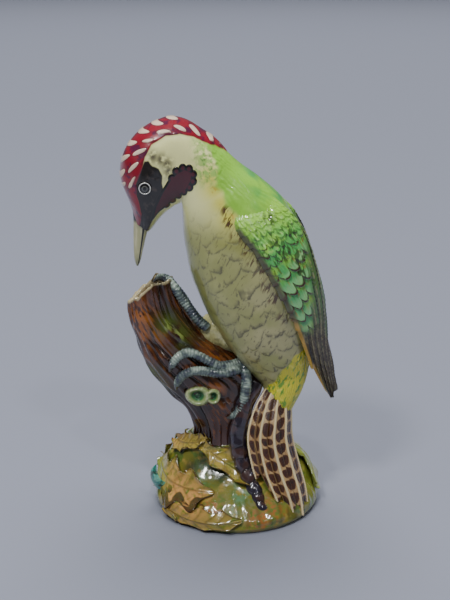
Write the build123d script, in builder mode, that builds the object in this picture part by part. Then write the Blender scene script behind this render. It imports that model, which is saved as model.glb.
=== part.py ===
"""Glazed ceramic figurine of a woodpecker clinging to a broken branch on a leafy base.

The row frame is in millimetres: +Z up, the origin at the centre of the foot ring, where the
figurine stands. The bird faces -X, its left side is towards -Y, and its own plane of symmetry
is y = 0. Each moulded clay part is its own solid, and meets its neighbours face to face, as
the castings do where they are joined with slip.
"""

import os
from math import cos, hypot, radians, sin

from build123d import *

# ---- driving dimensions
WALL = 4.5  # thickness of a slip casting
BASE_RADIUS = 49.5
FOOT_RING_WIDTH = 7.0
FOOT_RECESS = 2.0
VENT_RADIUS = 1.75
HEAD_TURN = radians(12)  # how far the bird looks towards its left side
LEAF_THICKNESS = 3.0
TOE_PROUD = 1.0  # how far a toe's middle line stands off the bark
EYE_RADIUS = 4.3
KNOT_RADIUS = 6.0

# Mound of the base: height, centre x, centre y, half width, half depth
MOUND_SECTIONS = [
    (0, 0, 0, 48, 48),
    (4, 0, 0, BASE_RADIUS, BASE_RADIUS),
    (12, -1, 5, 45.5, 40),
    (22, -2, 8, 41, 31),
    (32, -6, 7, 30, 22.5),
    (40, -9, 2, 15.5, 14),
]
# Stump and branch: height, centre x, centre y, half width, half depth
STUMP_SECTIONS = [
    (40, -9, 2, 15.5, 14),
    (46, -8.5, 1, 15, 12.5),
    (55, -9.5, 0, 18.5, 13),
    (66, -12.5, 0, 25, 15),
]
BRANCH_SECTIONS = [
    (66, -12.5, 0, 25, 15),
    (78, -18, 0, 31, 16),
    (90, -28.5, 1, 27.5, 15.5),
    (105, -40.5, 2, 20, 14),
    (121, -48, 3, 15.5, 12),
    (131, -48, 4, 11, 9),
    (137, -47, 4, 6, 6),
]
# Root that runs down the stump and over the mound beside the tail
ROOT_POINTS = [(9, -7, 70), (3, -11, 54), (2, -13, 40), (4, -18, 28), (9, -27, 17), (15, -37, 9)]
ROOT_RADII = [4.5, 5, 5.5, 5, 4, 2.5]

# Bird: each section runs from a point (x, z) on the throat or belly line to a point (x, z) on
# the crown or back line, and has a half width to each side of the plane of symmetry
HEAD_SECTIONS = [
    ((-48.5, 171.5), (-58, 180.5), 6.5),
    ((-43.5, 174.5), (-63.5, 191.5), 11.5),
    ((-39, 178), (-64.5, 203), 15),
    ((-35.5, 181), (-59, 217), 17),
    ((-33.5, 182), (-48.5, 227), 17.5),
    ((-32, 181.5), (-36, 229), 17.5),
    ((-31.5, 178.5), (-23, 222), 17),
    ((-31, 174), (-14, 211), 17),
]
TORSO_SECTIONS = [
    ((-31, 174), (-14, 211), 17),
    ((-30.5, 166), (0, 200), 19),
    ((-30, 155), (13, 189), 23),
    ((-27.5, 138), (27, 175.5), 27),
    ((-19.5, 118), (38, 152.5), 28),
    ((-6, 98), (43.5, 122.5), 24),
    ((5, 84), (42.5, 99), 18.5),
    ((14, 73), (42, 84), 13.5),
]
NECK_PIVOT_X = -14.0
# Rump: belly point, back point, half width, y of the middle
RUMP_SECTIONS = [
    ((14, 73), (42, 84), 13.5, 0),
    ((15, 69), (38, 67), 12.5, -2),
    ((15.5, 67), (31.5, 55.5), 11.5, -4),
]
# Tail, a fan that wraps round the stump: height, centre x, centre y, radius
TAIL_SECTIONS = [(50, 18.5, -7, 14.5), (35, 19, -12, 16.5), (20, 22, -18, 17.5), (4, 24.5, -23, 17.5)]
TAIL_WALL = 4.0
TAIL_TWIST = radians(-40)  # from +X to the way that the tail's top side faces
TAIL_WRAP = 5.0  # how far the fan reaches past half way round

# Beak: height, x of the middle, half depth, half width
BEAK_SECTIONS = [
    (180, -54, 5.4, 4.8),
    (172, -53, 4.7, 4.3),
    (162, -54.4, 3.7, 3.3),
    (153, -55.8, 2.4, 2.1),
    (148.2, -56.6, 1, 0.9),
]
MOUTH_SHIFT = 1.4  # the mouth line lies this far behind the beak's middle
EYE = (-54.6, 192.5)
EYE_REACH = (8.0, 16.4)  # from inside the head to the front of the eye, to each side

# Left wing, from shoulder to tip: height, front edge (x, y), back edge (x, y), half thickness
WING_SECTIONS = [
    (192, (-1, -16), (8, -10), 2.5),
    (182, (-1, -21), (21, -7), 4.5),
    (165, (8, -27), (34, -7), 6),
    (147, (17, -29), (42.5, -7), 6),
    (124, (27, -26), (48, -6), 5.5),
    (106, (34, -21), (50.5, -5), 4.5),
]
PRIMARY_SECTIONS = [
    (106, (34, -21), (50.5, -5), 4.5),
    (93, (39, -16.5), (52.5, -5), 3.8),
    (80, (46, -11.5), (55.5, -4.5), 2.8),
    (66, (55, -6.5), (58.5, -4.5), 1.4),
]
# Thighs: middle, direction of the long axis, long radius, short radius
LEFT_THIGH = ((9, -12, 91), (-0.35, -0.1, -0.93), 13, 7.5)
RIGHT_THIGH = ((-9, 12, 101), (-0.85, 0.1, 0.5), 13, 8.5)

# Shanks: the bare part of each leg, from the thigh to the foot
LEFT_SHANK = [(14, -12, 84), (9, -14, 82), (4, -15.5, 82)]
RIGHT_SHANK = [(-14, 13, 103), (-18, 14, 105), (-21.5, 14.5, 107)]
SHANK_RADII = [3.4, 3.1, 3.0]
# Toes, as points (x, z) on the bark
LEFT_TOES = {
    "left_outer_toe": [(4, 84), (-7, 87.5), (-18, 92.5), (-28, 96.5), (-35.5, 94.5), (-39, 87.5)],
    "left_inner_toe": [(3, 80), (-8, 81.5), (-19, 82), (-27, 79.5), (-32, 74)],
    "left_rear_toe": [(5, 78), (8, 70.5), (6.5, 62), (2, 55)],
}
RIGHT_TOES = {
    "right_outer_toe": [(-22, 108), (-28, 114.5), (-35, 122), (-41, 128)],
    "right_inner_toe": [(-24, 105), (-31, 109), (-38, 113), (-45, 115)],
    "right_rear_toe": [(-19, 102), (-17, 94), (-18, 86), (-22, 80)],
}
TOE_RADII = (3.0, 2.6, 1.2)  # at the foot, half way along and at the claw

# Knot: a cut side shoot on the near side of the branch
KNOT = (-20.5, 73.5)
KNOT_REACH = 4.5  # how far it stands off the bark
# Leaves moulded on the mound: stalk end, tip, the way the face looks, half width
LEAVES = {
    "leaf_upper": ((-44, -8, 28), (-13, -10, 37), (-0.4, -0.6, 0.7), 7.5),
    "leaf_left": ((-46, -12, 20), (-12, -38, 10), (-0.4, -0.5, 0.77), 9),
    "leaf_centre": ((-13, -8, 40), (-4, -30, 14), (-0.1, -0.8, 0.6), 6.5),
    "leaf_front": ((-40, -29, 6), (-2, -47, 5), (-0.2, -0.45, 0.87), 6),
    "leaf_right": ((47, 12, 8), (34, 26, 24), (0.7, 0.35, 0.62), 8),
    "leaf_back": ((-12, 46, 8), (16, 32, 24), (0.1, 0.72, 0.68), 8),
    "leaf_back_left": ((-44, 16, 12), (-22, 30, 26), (-0.5, 0.55, 0.67), 8),
}
LEAF_STEPS = 3  # notched lobes down each side
# Edge of a leaf that stands up clear of the mound, from stalk to tip
CURLED_TIP = [(-42, -9, 12), (-47.5, -8, 14), (-50, -6, 18), (-47.5, -4, 22)]
CURLED_TIP_RADII = [3.6, 3.2, 2.4, 1.0]


def middle_of(a, b):
    return tuple((p + q) / 2 for p, q in zip(a, b))


def turned(x, z, turn, side=0.0):
    """Point of the bird's plane of symmetry, swung with the head about the back of the neck
    and moved to one side of that plane."""
    reach = x - NECK_PIVOT_X
    forward = NECK_PIVOT_X + reach * cos(turn) - side * sin(turn)
    return (forward, reach * sin(turn) + side * cos(turn), z)


def body_plane(front, back, y=0.0, turn=0.0):
    """Plane of a cross-section that stands between a belly point and a back point."""
    length = hypot(back[0] - front[0], back[1] - front[1])
    dx, dz = (back[0] - front[0]) / length, (back[1] - front[1]) / length
    x_dir = Vector(dx * cos(turn), dx * sin(turn), dz)
    side = Vector(-sin(turn), cos(turn), 0)
    middle = middle_of(front, back)
    return Plane(origin=turned(middle[0], middle[1], turn, y), x_dir=x_dir, z_dir=x_dir.cross(side))


def body_loft(sections, inset=0.0, turn=0.0):
    """Solid lofted through the bird's cross-sections, each an ellipse made smaller by inset. The
    first section is swung by turn and the last stays in the plane of symmetry."""
    with BuildPart() as lofted:
        for i, (front, back, half_width, *y) in enumerate(sections):
            share = 1 - i / (len(sections) - 1)
            half_depth = hypot(back[0] - front[0], back[1] - front[1]) / 2
            with BuildSketch(body_plane(front, back, *y, turn=turn * share)):
                Ellipse(half_depth - inset, half_width - inset)
        loft()
    return lofted.part


def level_loft(sections, inset=0.0):
    """Solid lofted through level ellipses, each made smaller by inset."""
    with BuildPart() as lofted:
        for z, x, y, half_width, half_depth in sections:
            with BuildSketch(Plane.XY.offset(z)):
                with Locations((x, y)):
                    Ellipse(half_width - inset, half_depth - inset)
        loft()
    return lofted.part


def way(points, i):
    """Direction of a path at its point i."""
    before, after = points[max(i - 1, 0)], points[min(i + 1, len(points) - 1)]
    return (Vector(*after) - Vector(*before)).normalized()


def tapered_tube(points, radii):
    """Solid that follows a path, round in section, with its own radius at each point."""
    with BuildPart() as tube:
        for i, (point, radius) in enumerate(zip(points, radii)):
            with BuildSketch(Plane(origin=point, z_dir=way(points, i))):
                Circle(radius)
        loft()
    return tube.part


def blade(sections):
    """Solid lofted through flat level ellipses, each from a front edge to a back edge."""
    with BuildPart() as lofted:
        for z, front, back, half_thickness in sections:
            across = Vector(*back) - Vector(*front)
            x, y = middle_of(front, back)
            with BuildSketch(Plane(origin=(x, y, z), x_dir=across, z_dir=(0, 0, 1))):
                Ellipse(across.length / 2, half_thickness)
        loft()
    return lofted.part


def egg(centre, direction, long_radius, short_radius):
    """Ellipsoid with its long axis along direction."""
    axis_way = Vector(*direction).normalized()
    outline = Plane(origin=centre, x_dir=axis_way, z_dir=axis_way.cross(Vector(0, 1, 0)))
    with BuildPart() as solid:
        with BuildSketch(outline):
            Ellipse(long_radius, short_radius)
            below = (Align.CENTER, Align.MAX)
            Rectangle(4 * long_radius, 2 * long_radius, align=below, mode=Mode.SUBTRACT)
        revolve(axis=Axis(centre, axis_way))
    return solid.part


def bark_point(x, z, proud=0.0, side=-1):
    """Point on the near (side -1) or far (side 1) face of the stump or branch at x and the
    height z, moved proud of the bark."""
    sections = STUMP_SECTIONS + BRANCH_SECTIONS[1:]
    low = max((s for s in sections if s[0] <= z), key=lambda s: s[0])
    high = min((s for s in sections if s[0] > z), key=lambda s: s[0])
    share = (z - low[0]) / (high[0] - low[0])
    cx, cy, rx, ry = ((1 - share) * a + share * b for a, b in zip(low[1:], high[1:]))
    across = max(1 - ((x - cx) / rx) ** 2, 0.05) ** 0.5
    return (x, cy + side * (ry * across + proud), z)


def cut(solid, *tools):
    """solid without what it shares with its neighbours."""
    with BuildPart() as rest:
        add(solid)
        for tool in tools:
            add(tool, mode=Mode.SUBTRACT)
    return rest.part.solids().sort_by(SortBy.VOLUME)[-1]


def other_side(solid):
    """The same piece on the bird's other side."""
    return mirror(solid, about=Plane.XZ)


parts = {}

# ---- base mound: a hollow casting with a foot ring, a recessed floor and a vent
mound_outer = level_loft(MOUND_SECTIONS)
with BuildPart() as mound_hollow:
    add(level_loft(MOUND_SECTIONS[1:], WALL))
    split(bisect_by=Plane.XY.offset(FOOT_RECESS + WALL), keep=Keep.TOP)
with BuildPart() as base_mound:
    add(mound_outer)
    with BuildSketch(Plane.XY):
        Circle(MOUND_SECTIONS[0][3] - FOOT_RING_WIDTH)
    extrude(amount=FOOT_RECESS, mode=Mode.SUBTRACT)
    add(mound_hollow.part, mode=Mode.SUBTRACT)
    with Locations((0, 0, FOOT_RECESS)):
        Hole(VENT_RADIUS, depth=2 * WALL)
parts["base_mound"] = base_mound.part

# ---- stump and branch: tubes whose hollow opens down into the base
stump_outer = level_loft(STUMP_SECTIONS)
branch_outer = level_loft(BRANCH_SECTIONS)
with BuildPart() as stump:
    add(stump_outer)
    add(level_loft(STUMP_SECTIONS, WALL), mode=Mode.SUBTRACT)
parts["stump"] = stump.part
with BuildPart() as branch:
    add(branch_outer)
    add(level_loft(BRANCH_SECTIONS[:5], WALL), mode=Mode.SUBTRACT)
parts["branch"] = branch.part
bark = (mound_outer, stump_outer, branch_outer)

# ---- bird: head and body castings, hollow and open to each other through the neck
head_outer = body_loft(HEAD_SECTIONS, turn=HEAD_TURN)
with BuildPart() as head:
    add(head_outer)
    neck_share = (len(HEAD_SECTIONS) - 3) / (len(HEAD_SECTIONS) - 1)
    add(body_loft(HEAD_SECTIONS[2:], WALL, turn=HEAD_TURN * neck_share), mode=Mode.SUBTRACT)
parts["head"] = head.part
torso_outer = cut(body_loft(TORSO_SECTIONS), branch_outer)
with BuildPart() as torso:
    add(torso_outer)
    add(body_loft(TORSO_SECTIONS[:-1], WALL + 1), mode=Mode.SUBTRACT)
parts["torso"] = torso.part
rump_outer = cut(body_loft(RUMP_SECTIONS), branch_outer)
parts["rump_coverts"] = rump_outer

# ---- beak, parted along the mouth line
beak_sections = [((x + d, z), (x - d, z), w) for z, x, d, w in BEAK_SECTIONS]
with BuildPart() as beak_cone:
    for front, back, half_width in beak_sections:
        with BuildSketch(body_plane(front, back, turn=HEAD_TURN)):
            Ellipse((front[0] - back[0]) / 2, half_width)
    loft()
    add(head_outer, mode=Mode.SUBTRACT)
beak_root = turned(BEAK_SECTIONS[1][1] + MOUTH_SHIFT, BEAK_SECTIONS[1][0], HEAD_TURN)
beak_tip = turned(BEAK_SECTIONS[-1][1] + MOUTH_SHIFT / 2, BEAK_SECTIONS[-1][0], HEAD_TURN)
beak_way = Vector(*beak_tip) - Vector(*beak_root)
beak_side = Vector(-sin(HEAD_TURN), cos(HEAD_TURN), 0)
mouth = Plane(origin=beak_root, x_dir=beak_way, z_dir=beak_way.cross(beak_side))
for name, keep in (("upper_mandible", Keep.TOP), ("lower_mandible", Keep.BOTTOM)):
    with BuildPart() as mandible:
        add(beak_cone.part)
        split(bisect_by=mouth, keep=keep)
    parts[name] = mandible.part

# ---- eyes: round studs set on the sides of the head
for name, side in (("left_eye", -1), ("right_eye", 1)):
    inner = turned(*EYE, HEAD_TURN * 0.7, side * EYE_REACH[0])
    outer = turned(*EYE, HEAD_TURN * 0.7, side * EYE_REACH[1])
    outwards = (Vector(*outer) - Vector(*inner)).normalized()
    with BuildPart() as eye:
        with BuildSketch(Plane(origin=inner, z_dir=outwards)):
            Circle(EYE_RADIUS)
        extrude(amount=EYE_REACH[1] - EYE_REACH[0])
        chamfer(eye.faces().sort_by(Axis(inner, outwards))[-1].edges(), 0.9)
        add(head_outer, mode=Mode.SUBTRACT)
    parts[name] = eye.part

# ---- wings: a covert shell and the long flight feathers on each side
left_wing = cut(blade(WING_SECTIONS), torso_outer)
left_primaries = cut(blade(PRIMARY_SECTIONS), torso_outer, rump_outer)
parts["left_wing"], parts["right_wing"] = left_wing, other_side(left_wing)
parts["left_primaries"], parts["right_primaries"] = left_primaries, other_side(left_primaries)

# ---- tail: a fan wrapped round the stump
root_front, root_back, tail_root_half_width, tail_root_y = RUMP_SECTIONS[-1]
tail_root = body_plane(root_front, root_back, tail_root_y)
tail_root_half_depth = hypot(root_back[0] - root_front[0], root_back[1] - root_front[1]) / 2
tail_points = [Vector(x, y, z) for z, x, y, _ in TAIL_SECTIONS]
tail_axis = (tail_points[-1] - tail_points[0]).normalized()
top_side = Vector(cos(TAIL_TWIST), sin(TAIL_TWIST), 0)
top_side = (top_side - tail_axis * top_side.dot(tail_axis)).normalized()


def tail_cone(inset):
    """Tail's solid cone from the rump to the ground, made smaller by inset."""
    with BuildPart() as cone:
        with BuildSketch(tail_root):
            Ellipse(tail_root_half_depth - inset, tail_root_half_width - inset)
        for point, (*_, radius) in zip(tail_points, TAIL_SECTIONS):
            with BuildSketch(Plane(origin=point, x_dir=(1, 0, 0), z_dir=(0, 0, -1))):
                Circle(radius - inset)
        loft()
    return cone.part


with BuildPart() as tail:
    add(tail_cone(0))
    add(tail_cone(TAIL_WALL), mode=Mode.SUBTRACT)
    fan_edge = tail_points[1] - top_side * TAIL_WRAP
    split(bisect_by=Plane(origin=fan_edge, z_dir=top_side), keep=Keep.TOP)
tail_outer = cut(tail.part, *bark, rump_outer, torso_outer)
parts["tail"] = tail_outer

# ---- root and knot
bird_outer = (torso_outer, rump_outer, tail_outer)
root_outer = cut(tapered_tube(ROOT_POINTS, ROOT_RADII), *bark, *bird_outer)
parts["root"] = root_outer
knot_end = Plane(origin=bark_point(*KNOT, KNOT_REACH), z_dir=(-0.15, -1, 0.1))
with BuildPart() as knot:
    with BuildSketch(knot_end):
        Circle(KNOT_RADIUS)
    extrude(amount=-2 * KNOT_REACH)
    fillet(knot.faces().sort_by(Axis.Y)[0].edges(), 1.2)
knot_outer = cut(knot.part, branch_outer)
parts["branch_knot"] = knot_outer

# ---- thighs, shanks and toes
parts["left_thigh"] = left_thigh = cut(egg(*LEFT_THIGH), torso_outer, branch_outer)
parts["right_thigh"] = right_thigh = cut(egg(*RIGHT_THIGH), torso_outer, branch_outer)
legs = (
    ("left", LEFT_SHANK, LEFT_TOES, left_thigh, -1),
    ("right", RIGHT_SHANK, RIGHT_TOES, right_thigh, 1),
)
for which, shank_points, toes, thigh, side in legs:
    taken = [*bark, torso_outer, rump_outer, root_outer, knot_outer, thigh]
    shank = cut(tapered_tube(shank_points, SHANK_RADII), *taken)
    parts[f"{which}_shank"] = shank
    taken.append(shank)
    for name, path in toes.items():
        points = [bark_point(x, z, TOE_PROUD, side) for x, z in path]
        last = len(points) - 1
        at_foot, half_way, at_claw = TOE_RADII
        radii = [at_foot + (half_way - at_foot) * min(2 * i / last, 1) for i in range(last)]
        toe = cut(tapered_tube(points, [*radii, at_claw]), *taken)
        parts[name] = toe
        taken.append(toe)

# ---- leaves: relief of even thickness on the mound, each with lobes down both sides
leaf_layer = level_loft(MOUND_SECTIONS, -LEAF_THICKNESS)
on_mound = [mound_outer, stump_outer, tail_outer, root_outer]
curled_tip = cut(tapered_tube(CURLED_TIP, CURLED_TIP_RADII), mound_outer)
parts["curled_leaf_tip"] = curled_tip
on_mound.append(curled_tip)
for name, (stalk, tip, face, half_width) in LEAVES.items():
    along = Vector(*tip) - Vector(*stalk)
    edge = [(0, 0.15)]
    for i in range(LEAF_STEPS):
        start = (i + 0.25) / (LEAF_STEPS + 0.5)
        edge += [(start + 0.02, 0.55), (start + 0.16, 1.0), (start + 0.24, 0.6)]
    edge.append((1, 0))
    outline = [(share * along.length, half_width * w) for share, w in edge]
    outline += [(x, -y) for x, y in reversed(outline[:-1])]
    with BuildPart() as leaf:
        with BuildSketch(Plane(origin=stalk, x_dir=along, z_dir=face)):
            with BuildLine():
                Polyline(*outline, close=True)
            make_face()
        extrude(amount=half_width + LEAF_THICKNESS, both=True)
        add(leaf_layer, mode=Mode.INTERSECT)
    parts[name] = cut(leaf.part, *on_mound)
    on_mound.append(parts[name])

os.makedirs("parts", exist_ok=True)
for name, solid in parts.items():
    solid.label = name
    export_step(solid, f"parts/{name}.step")
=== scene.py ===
"""Looks of a glazed pottery woodpecker on a broken branch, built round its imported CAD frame.

Every clay part is one closed surface worked out with numpy on a grid of rows along it and
columns round it. Its relief (feathers, bark, veins, scutes) moves the grid's points along their
normals, and the same numbers are kept as attributes that its glaze is painted by. Sizes are in
millimetres of the figurine, counted from the middle of its foot ring as in the CAD, and
row_metres turns them into the frame's metres.
"""

import functools
import itertools
import math

import bpy
import numpy as np
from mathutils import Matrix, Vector


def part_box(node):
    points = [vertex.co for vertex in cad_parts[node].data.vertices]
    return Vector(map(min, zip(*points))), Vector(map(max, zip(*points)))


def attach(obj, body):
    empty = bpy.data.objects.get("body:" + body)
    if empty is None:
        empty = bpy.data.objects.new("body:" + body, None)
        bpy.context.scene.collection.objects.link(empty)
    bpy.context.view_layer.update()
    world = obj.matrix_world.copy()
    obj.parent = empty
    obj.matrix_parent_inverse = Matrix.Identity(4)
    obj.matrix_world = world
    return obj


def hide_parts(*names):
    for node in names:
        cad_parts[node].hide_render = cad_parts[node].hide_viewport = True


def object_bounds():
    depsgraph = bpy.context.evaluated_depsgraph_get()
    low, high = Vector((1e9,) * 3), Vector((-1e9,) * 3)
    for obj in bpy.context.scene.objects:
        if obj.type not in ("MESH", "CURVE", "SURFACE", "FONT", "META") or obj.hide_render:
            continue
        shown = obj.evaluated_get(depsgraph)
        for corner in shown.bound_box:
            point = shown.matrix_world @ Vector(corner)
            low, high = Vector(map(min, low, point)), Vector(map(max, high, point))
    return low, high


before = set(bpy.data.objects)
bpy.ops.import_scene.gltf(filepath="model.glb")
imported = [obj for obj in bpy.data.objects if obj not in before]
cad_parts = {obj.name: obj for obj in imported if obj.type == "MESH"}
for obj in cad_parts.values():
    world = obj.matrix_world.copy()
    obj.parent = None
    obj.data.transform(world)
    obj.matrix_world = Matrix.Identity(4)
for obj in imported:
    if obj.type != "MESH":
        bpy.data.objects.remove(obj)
cad_box = [list(corner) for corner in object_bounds()]

MODELLED_HEIGHT = 229.2  # of the figurine, in its own millimetres
UNIT = (cad_box[1][2] - cad_box[0][2]) / MODELLED_HEIGHT
mound_low, mound_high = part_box("base_mound")
FOOT = np.array([(mound_low.x + mound_high.x) / 2, (mound_low.y + mound_high.y) / 2, mound_low.z])


# ---- numbers on grids


def row_metres(points):
    """Figurine millimetres from the foot's middle, as metres of the frame."""
    return FOOT + UNIT * np.asarray(points, float)


def station(table, t):
    """A table's rows read at t, counted in rows: a Catmull-Rom curve through them."""
    table = np.asarray(table, float)
    t = np.clip(t, 0, len(table) - 1.000001)
    i = np.floor(t).astype(int)
    f = (t - i)[..., None]
    padded = np.vstack([2 * table[0] - table[1], table, 2 * table[-1] - table[-2]])
    a, b, c, d = (padded[i + k] for k in range(4))
    return b + f * (c - a) / 2 + f**2 * (2 * a - 5 * b + 4 * c - d) / 2 + f**3 * (3 * b - a - 3 * c + d) / 2


def at_height(table, z):
    """The columns after the first of a table whose first column is a rising height, read at z."""
    heights = np.array([row[0] for row in table], float)
    return np.moveaxis(station(table, np.interp(z, heights, np.arange(len(table))))[..., 1:], -1, 0)


def oval_point(table, z, angle):
    """Point at a height and an angle of a table of ovals, given by height, centre x, centre y,
    half width and half depth: centre plus half width times the cosine, half depth times the sine."""
    x, y, half_width, half_depth = at_height(table, z)
    return np.stack([x + half_width * np.cos(angle), y + half_depth * np.sin(angle), z + 0 * angle], -1)


def around(columns):
    """Angles of a ring's points, as one row."""
    return np.linspace(0, 2 * np.pi, columns, endpoint=False)[None, :]


def ease(value, low, high):
    """0 below low and 1 above high, with a smooth step between."""
    share = np.clip((value - low) / (high - low), 0, 1)
    return share * share * (3 - 2 * share)


def lumps(points, size, seed=0):
    """Smooth noise from -1 to 1 with lumps about size across, one size or one for each axis:
    random values at the corners of a lattice, blended over each cell by smooth steps."""
    place = points / np.asarray(size, float) + 19.7 * seed
    cell = np.floor(place)
    share = place - cell
    share = share * share * (3 - 2 * share)
    total = 0
    for corner in itertools.product((0, 1), repeat=3):
        chance = np.sin((cell + corner) @ (127.1, 311.7, 74.7)) * 43758.5453
        weight = np.prod(np.where(corner, share, 1 - share), axis=-1)
        total = total + (chance - np.floor(chance)) * weight
    return 2 * total - 1


def unit(vectors):
    return vectors / np.maximum(np.linalg.norm(vectors, axis=-1, keepdims=True), 1e-9)


def outward(grid):
    """Outward normals of a grid whose columns go round: the cross product of its steps."""
    normals = unit(np.cross(np.roll(grid, -1, 1) - np.roll(grid, 1, 1), np.gradient(grid, axis=0)))
    leaning = np.sum(normals * (grid - grid.mean(1, keepdims=True)))
    return normals if leaning > 0 else -normals


def raised(grid, height):
    """The grid moved along its normals by height, in millimetres."""
    return grid + outward(grid) * height[..., None]


def scallops(across, along):
    """Overlapping round-ended feathers. Across counts feathers and along counts rows; every
    other row is shifted by half a feather, and each feather ends in half an ellipse that lies
    over the next row. Returns the height from 0 at a feather's root to 1 at its tip, and how
    near the point is to the feather's edge."""
    row = np.floor(along)
    upper_shift = 0.5 * ((row - 1) % 2)
    upper = np.round(across - upper_shift) + upper_shift
    upper_tip = row + 0.62 * np.sqrt(np.clip(1 - (2 * (across - upper)) ** 2, 0, 1))
    on_upper = along < upper_tip
    shift = 0.5 * (row % 2)
    column = np.where(on_upper, upper, np.round(across - shift) + shift)
    top = np.where(on_upper, row - 1, row)
    tip = top + 1 + 0.62 * np.sqrt(np.clip(1 - (2 * (across - column)) ** 2, 0, 1))
    return (along - top) / 1.62, np.exp(-(((tip - along) / 0.16) ** 2))


def inside(points, outline):
    """Distance in millimetres inside (above 0) or outside (below 0) a closed outline in x, z."""
    start = np.asarray(outline, float)
    end = np.roll(start, -1, 0)
    nearest = np.full(points.shape[:-1], 1e9)
    crossings = np.zeros(points.shape[:-1], int)
    for (x0, z0), (x1, z1) in zip(start, end):
        dx, dz = points[..., 0] - x0, points[..., 1] - z0
        ex, ez = x1 - x0, z1 - z0
        share = np.clip((dx * ex + dz * ez) / (ex * ex + ez * ez), 0, 1)
        nearest = np.minimum(nearest, np.hypot(dx - share * ex, dz - share * ez))
        straddles = (z0 > points[..., 1]) != (z1 > points[..., 1])
        crossings += straddles & (dx < ex * dz / (ez if ez else 1e-9))
    return np.where(crossings % 2 == 1, nearest, -nearest)


def near(points, places, radius):
    """1 at any of the places, falling to 0 about a radius away."""
    amount = 0
    for place in places:
        apart = np.linalg.norm(points - np.asarray(place, float), axis=-1)
        amount = np.maximum(amount, np.exp(-((apart / radius) ** 2)))
    return amount


# ---- grids to pieces


def make_piece(name, grid, glaze, slot, nodes=(), **painted):
    """A closed mesh from a grid of points in figurine millimetres. Columns join round; each end
    is closed by a flat-shaded strip of faces from one side of its loop to the other. The painted
    numbers become attributes. Nodes are the CAD nodes that the piece stands for."""
    rows, columns = grid.shape[:2]
    ring = np.arange(rows * columns).reshape(rows, columns)
    after = np.roll(ring, -1, 1)
    sides = np.stack([ring[:-1], after[:-1], after[1:], ring[1:]], -1).reshape(-1, 4)
    j = np.arange(columns // 2 - 1)
    first = np.stack([ring[0][j], ring[0][-1 - j], ring[0][-2 - j], ring[0][j + 1]], -1)
    last = np.stack([ring[-1][j + 1], ring[-1][-2 - j], ring[-1][-1 - j], ring[-1][j]], -1)
    faces = np.vstack([sides, first, last])
    corners = grid.reshape(-1, 3)
    a, b, c, d = (corners[faces[:, k]] for k in range(4))
    volume = np.sum(np.cross(b - a, c - a) * a) + np.sum(np.cross(c - a, d - a) * a)
    if volume < 0:
        faces = faces[:, ::-1]
    mesh = bpy.data.meshes.new(name)
    mesh.from_pydata(row_metres(corners).tolist(), [], faces.tolist())
    for label, values in painted.items():
        layer = mesh.attributes.new(label, "FLOAT", "POINT")
        layer.data.foreach_set("value", np.broadcast_to(values, grid.shape[:2]).ravel().astype(np.float32))
    mesh.polygons.foreach_set("use_smooth", np.arange(len(faces)) < len(sides))
    mesh.materials.append(glaze)
    piece = bpy.data.objects.new(name, mesh)
    bpy.context.scene.collection.objects.link(piece)
    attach(piece, "root")
    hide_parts(*nodes)
    return piece


def tube(path, radii, rows, columns, flat=1.0, top=(0, -1, 0)):
    """Grid of rings along a Catmull-Rom path with a radius at each of its points: ring centre
    plus radius times (cosine of the angle times the side, sine times the upward normal)."""
    t = np.linspace(0, len(path) - 1, rows)
    centre = station(path, t)
    radius = station(np.reshape(radii, (-1, 1)), t)
    way = unit(np.gradient(centre, axis=0))
    side = unit(np.cross(way, np.asarray(top, float)))
    upright = np.cross(side, way)
    angle = around(columns)[..., None]
    ring = np.cos(angle) * side[:, None] + flat * np.sin(angle) * upright[:, None]
    return centre[:, None] + radius[:, None] * ring


def boss(centre, across, up, facing, profile, columns=96, second=0.0):
    """Grid of a boss on a surface. Profile rows are a share of the radius and a height off the
    surface; the outline is an ellipse with radii across and up, swollen to one side by second."""
    share, rise = station(profile, np.linspace(0, len(profile) - 1, 60)).T[..., None]
    angle = around(columns)
    outline = 1 + second * np.exp(-(((angle - np.pi) / 0.8) ** 2)) + 0.3 * second * np.sin(3 * angle + 1)
    face = unit(np.asarray(facing, float))
    right = unit(np.cross(face, (0, 0, 1.0)))
    upright = np.cross(right, face)
    flat = share * outline
    grid = (
        np.asarray(centre, float)
        + (across * flat * np.cos(angle))[..., None] * right
        + (up * flat * np.sin(angle))[..., None] * upright
        + (rise + 0 * angle)[..., None] * face
    )
    return grid, share + 0 * angle


# ---- glazes


def linear(text):
    """A colour written as #rrggbb, in the linear values that the shader takes."""
    parts = [int(text[k : k + 2], 16) / 255 for k in (1, 3, 5)]
    return [p / 12.92 if p < 0.04045 else ((p + 0.055) / 1.055) ** 2.4 for p in parts] + [1]


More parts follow.
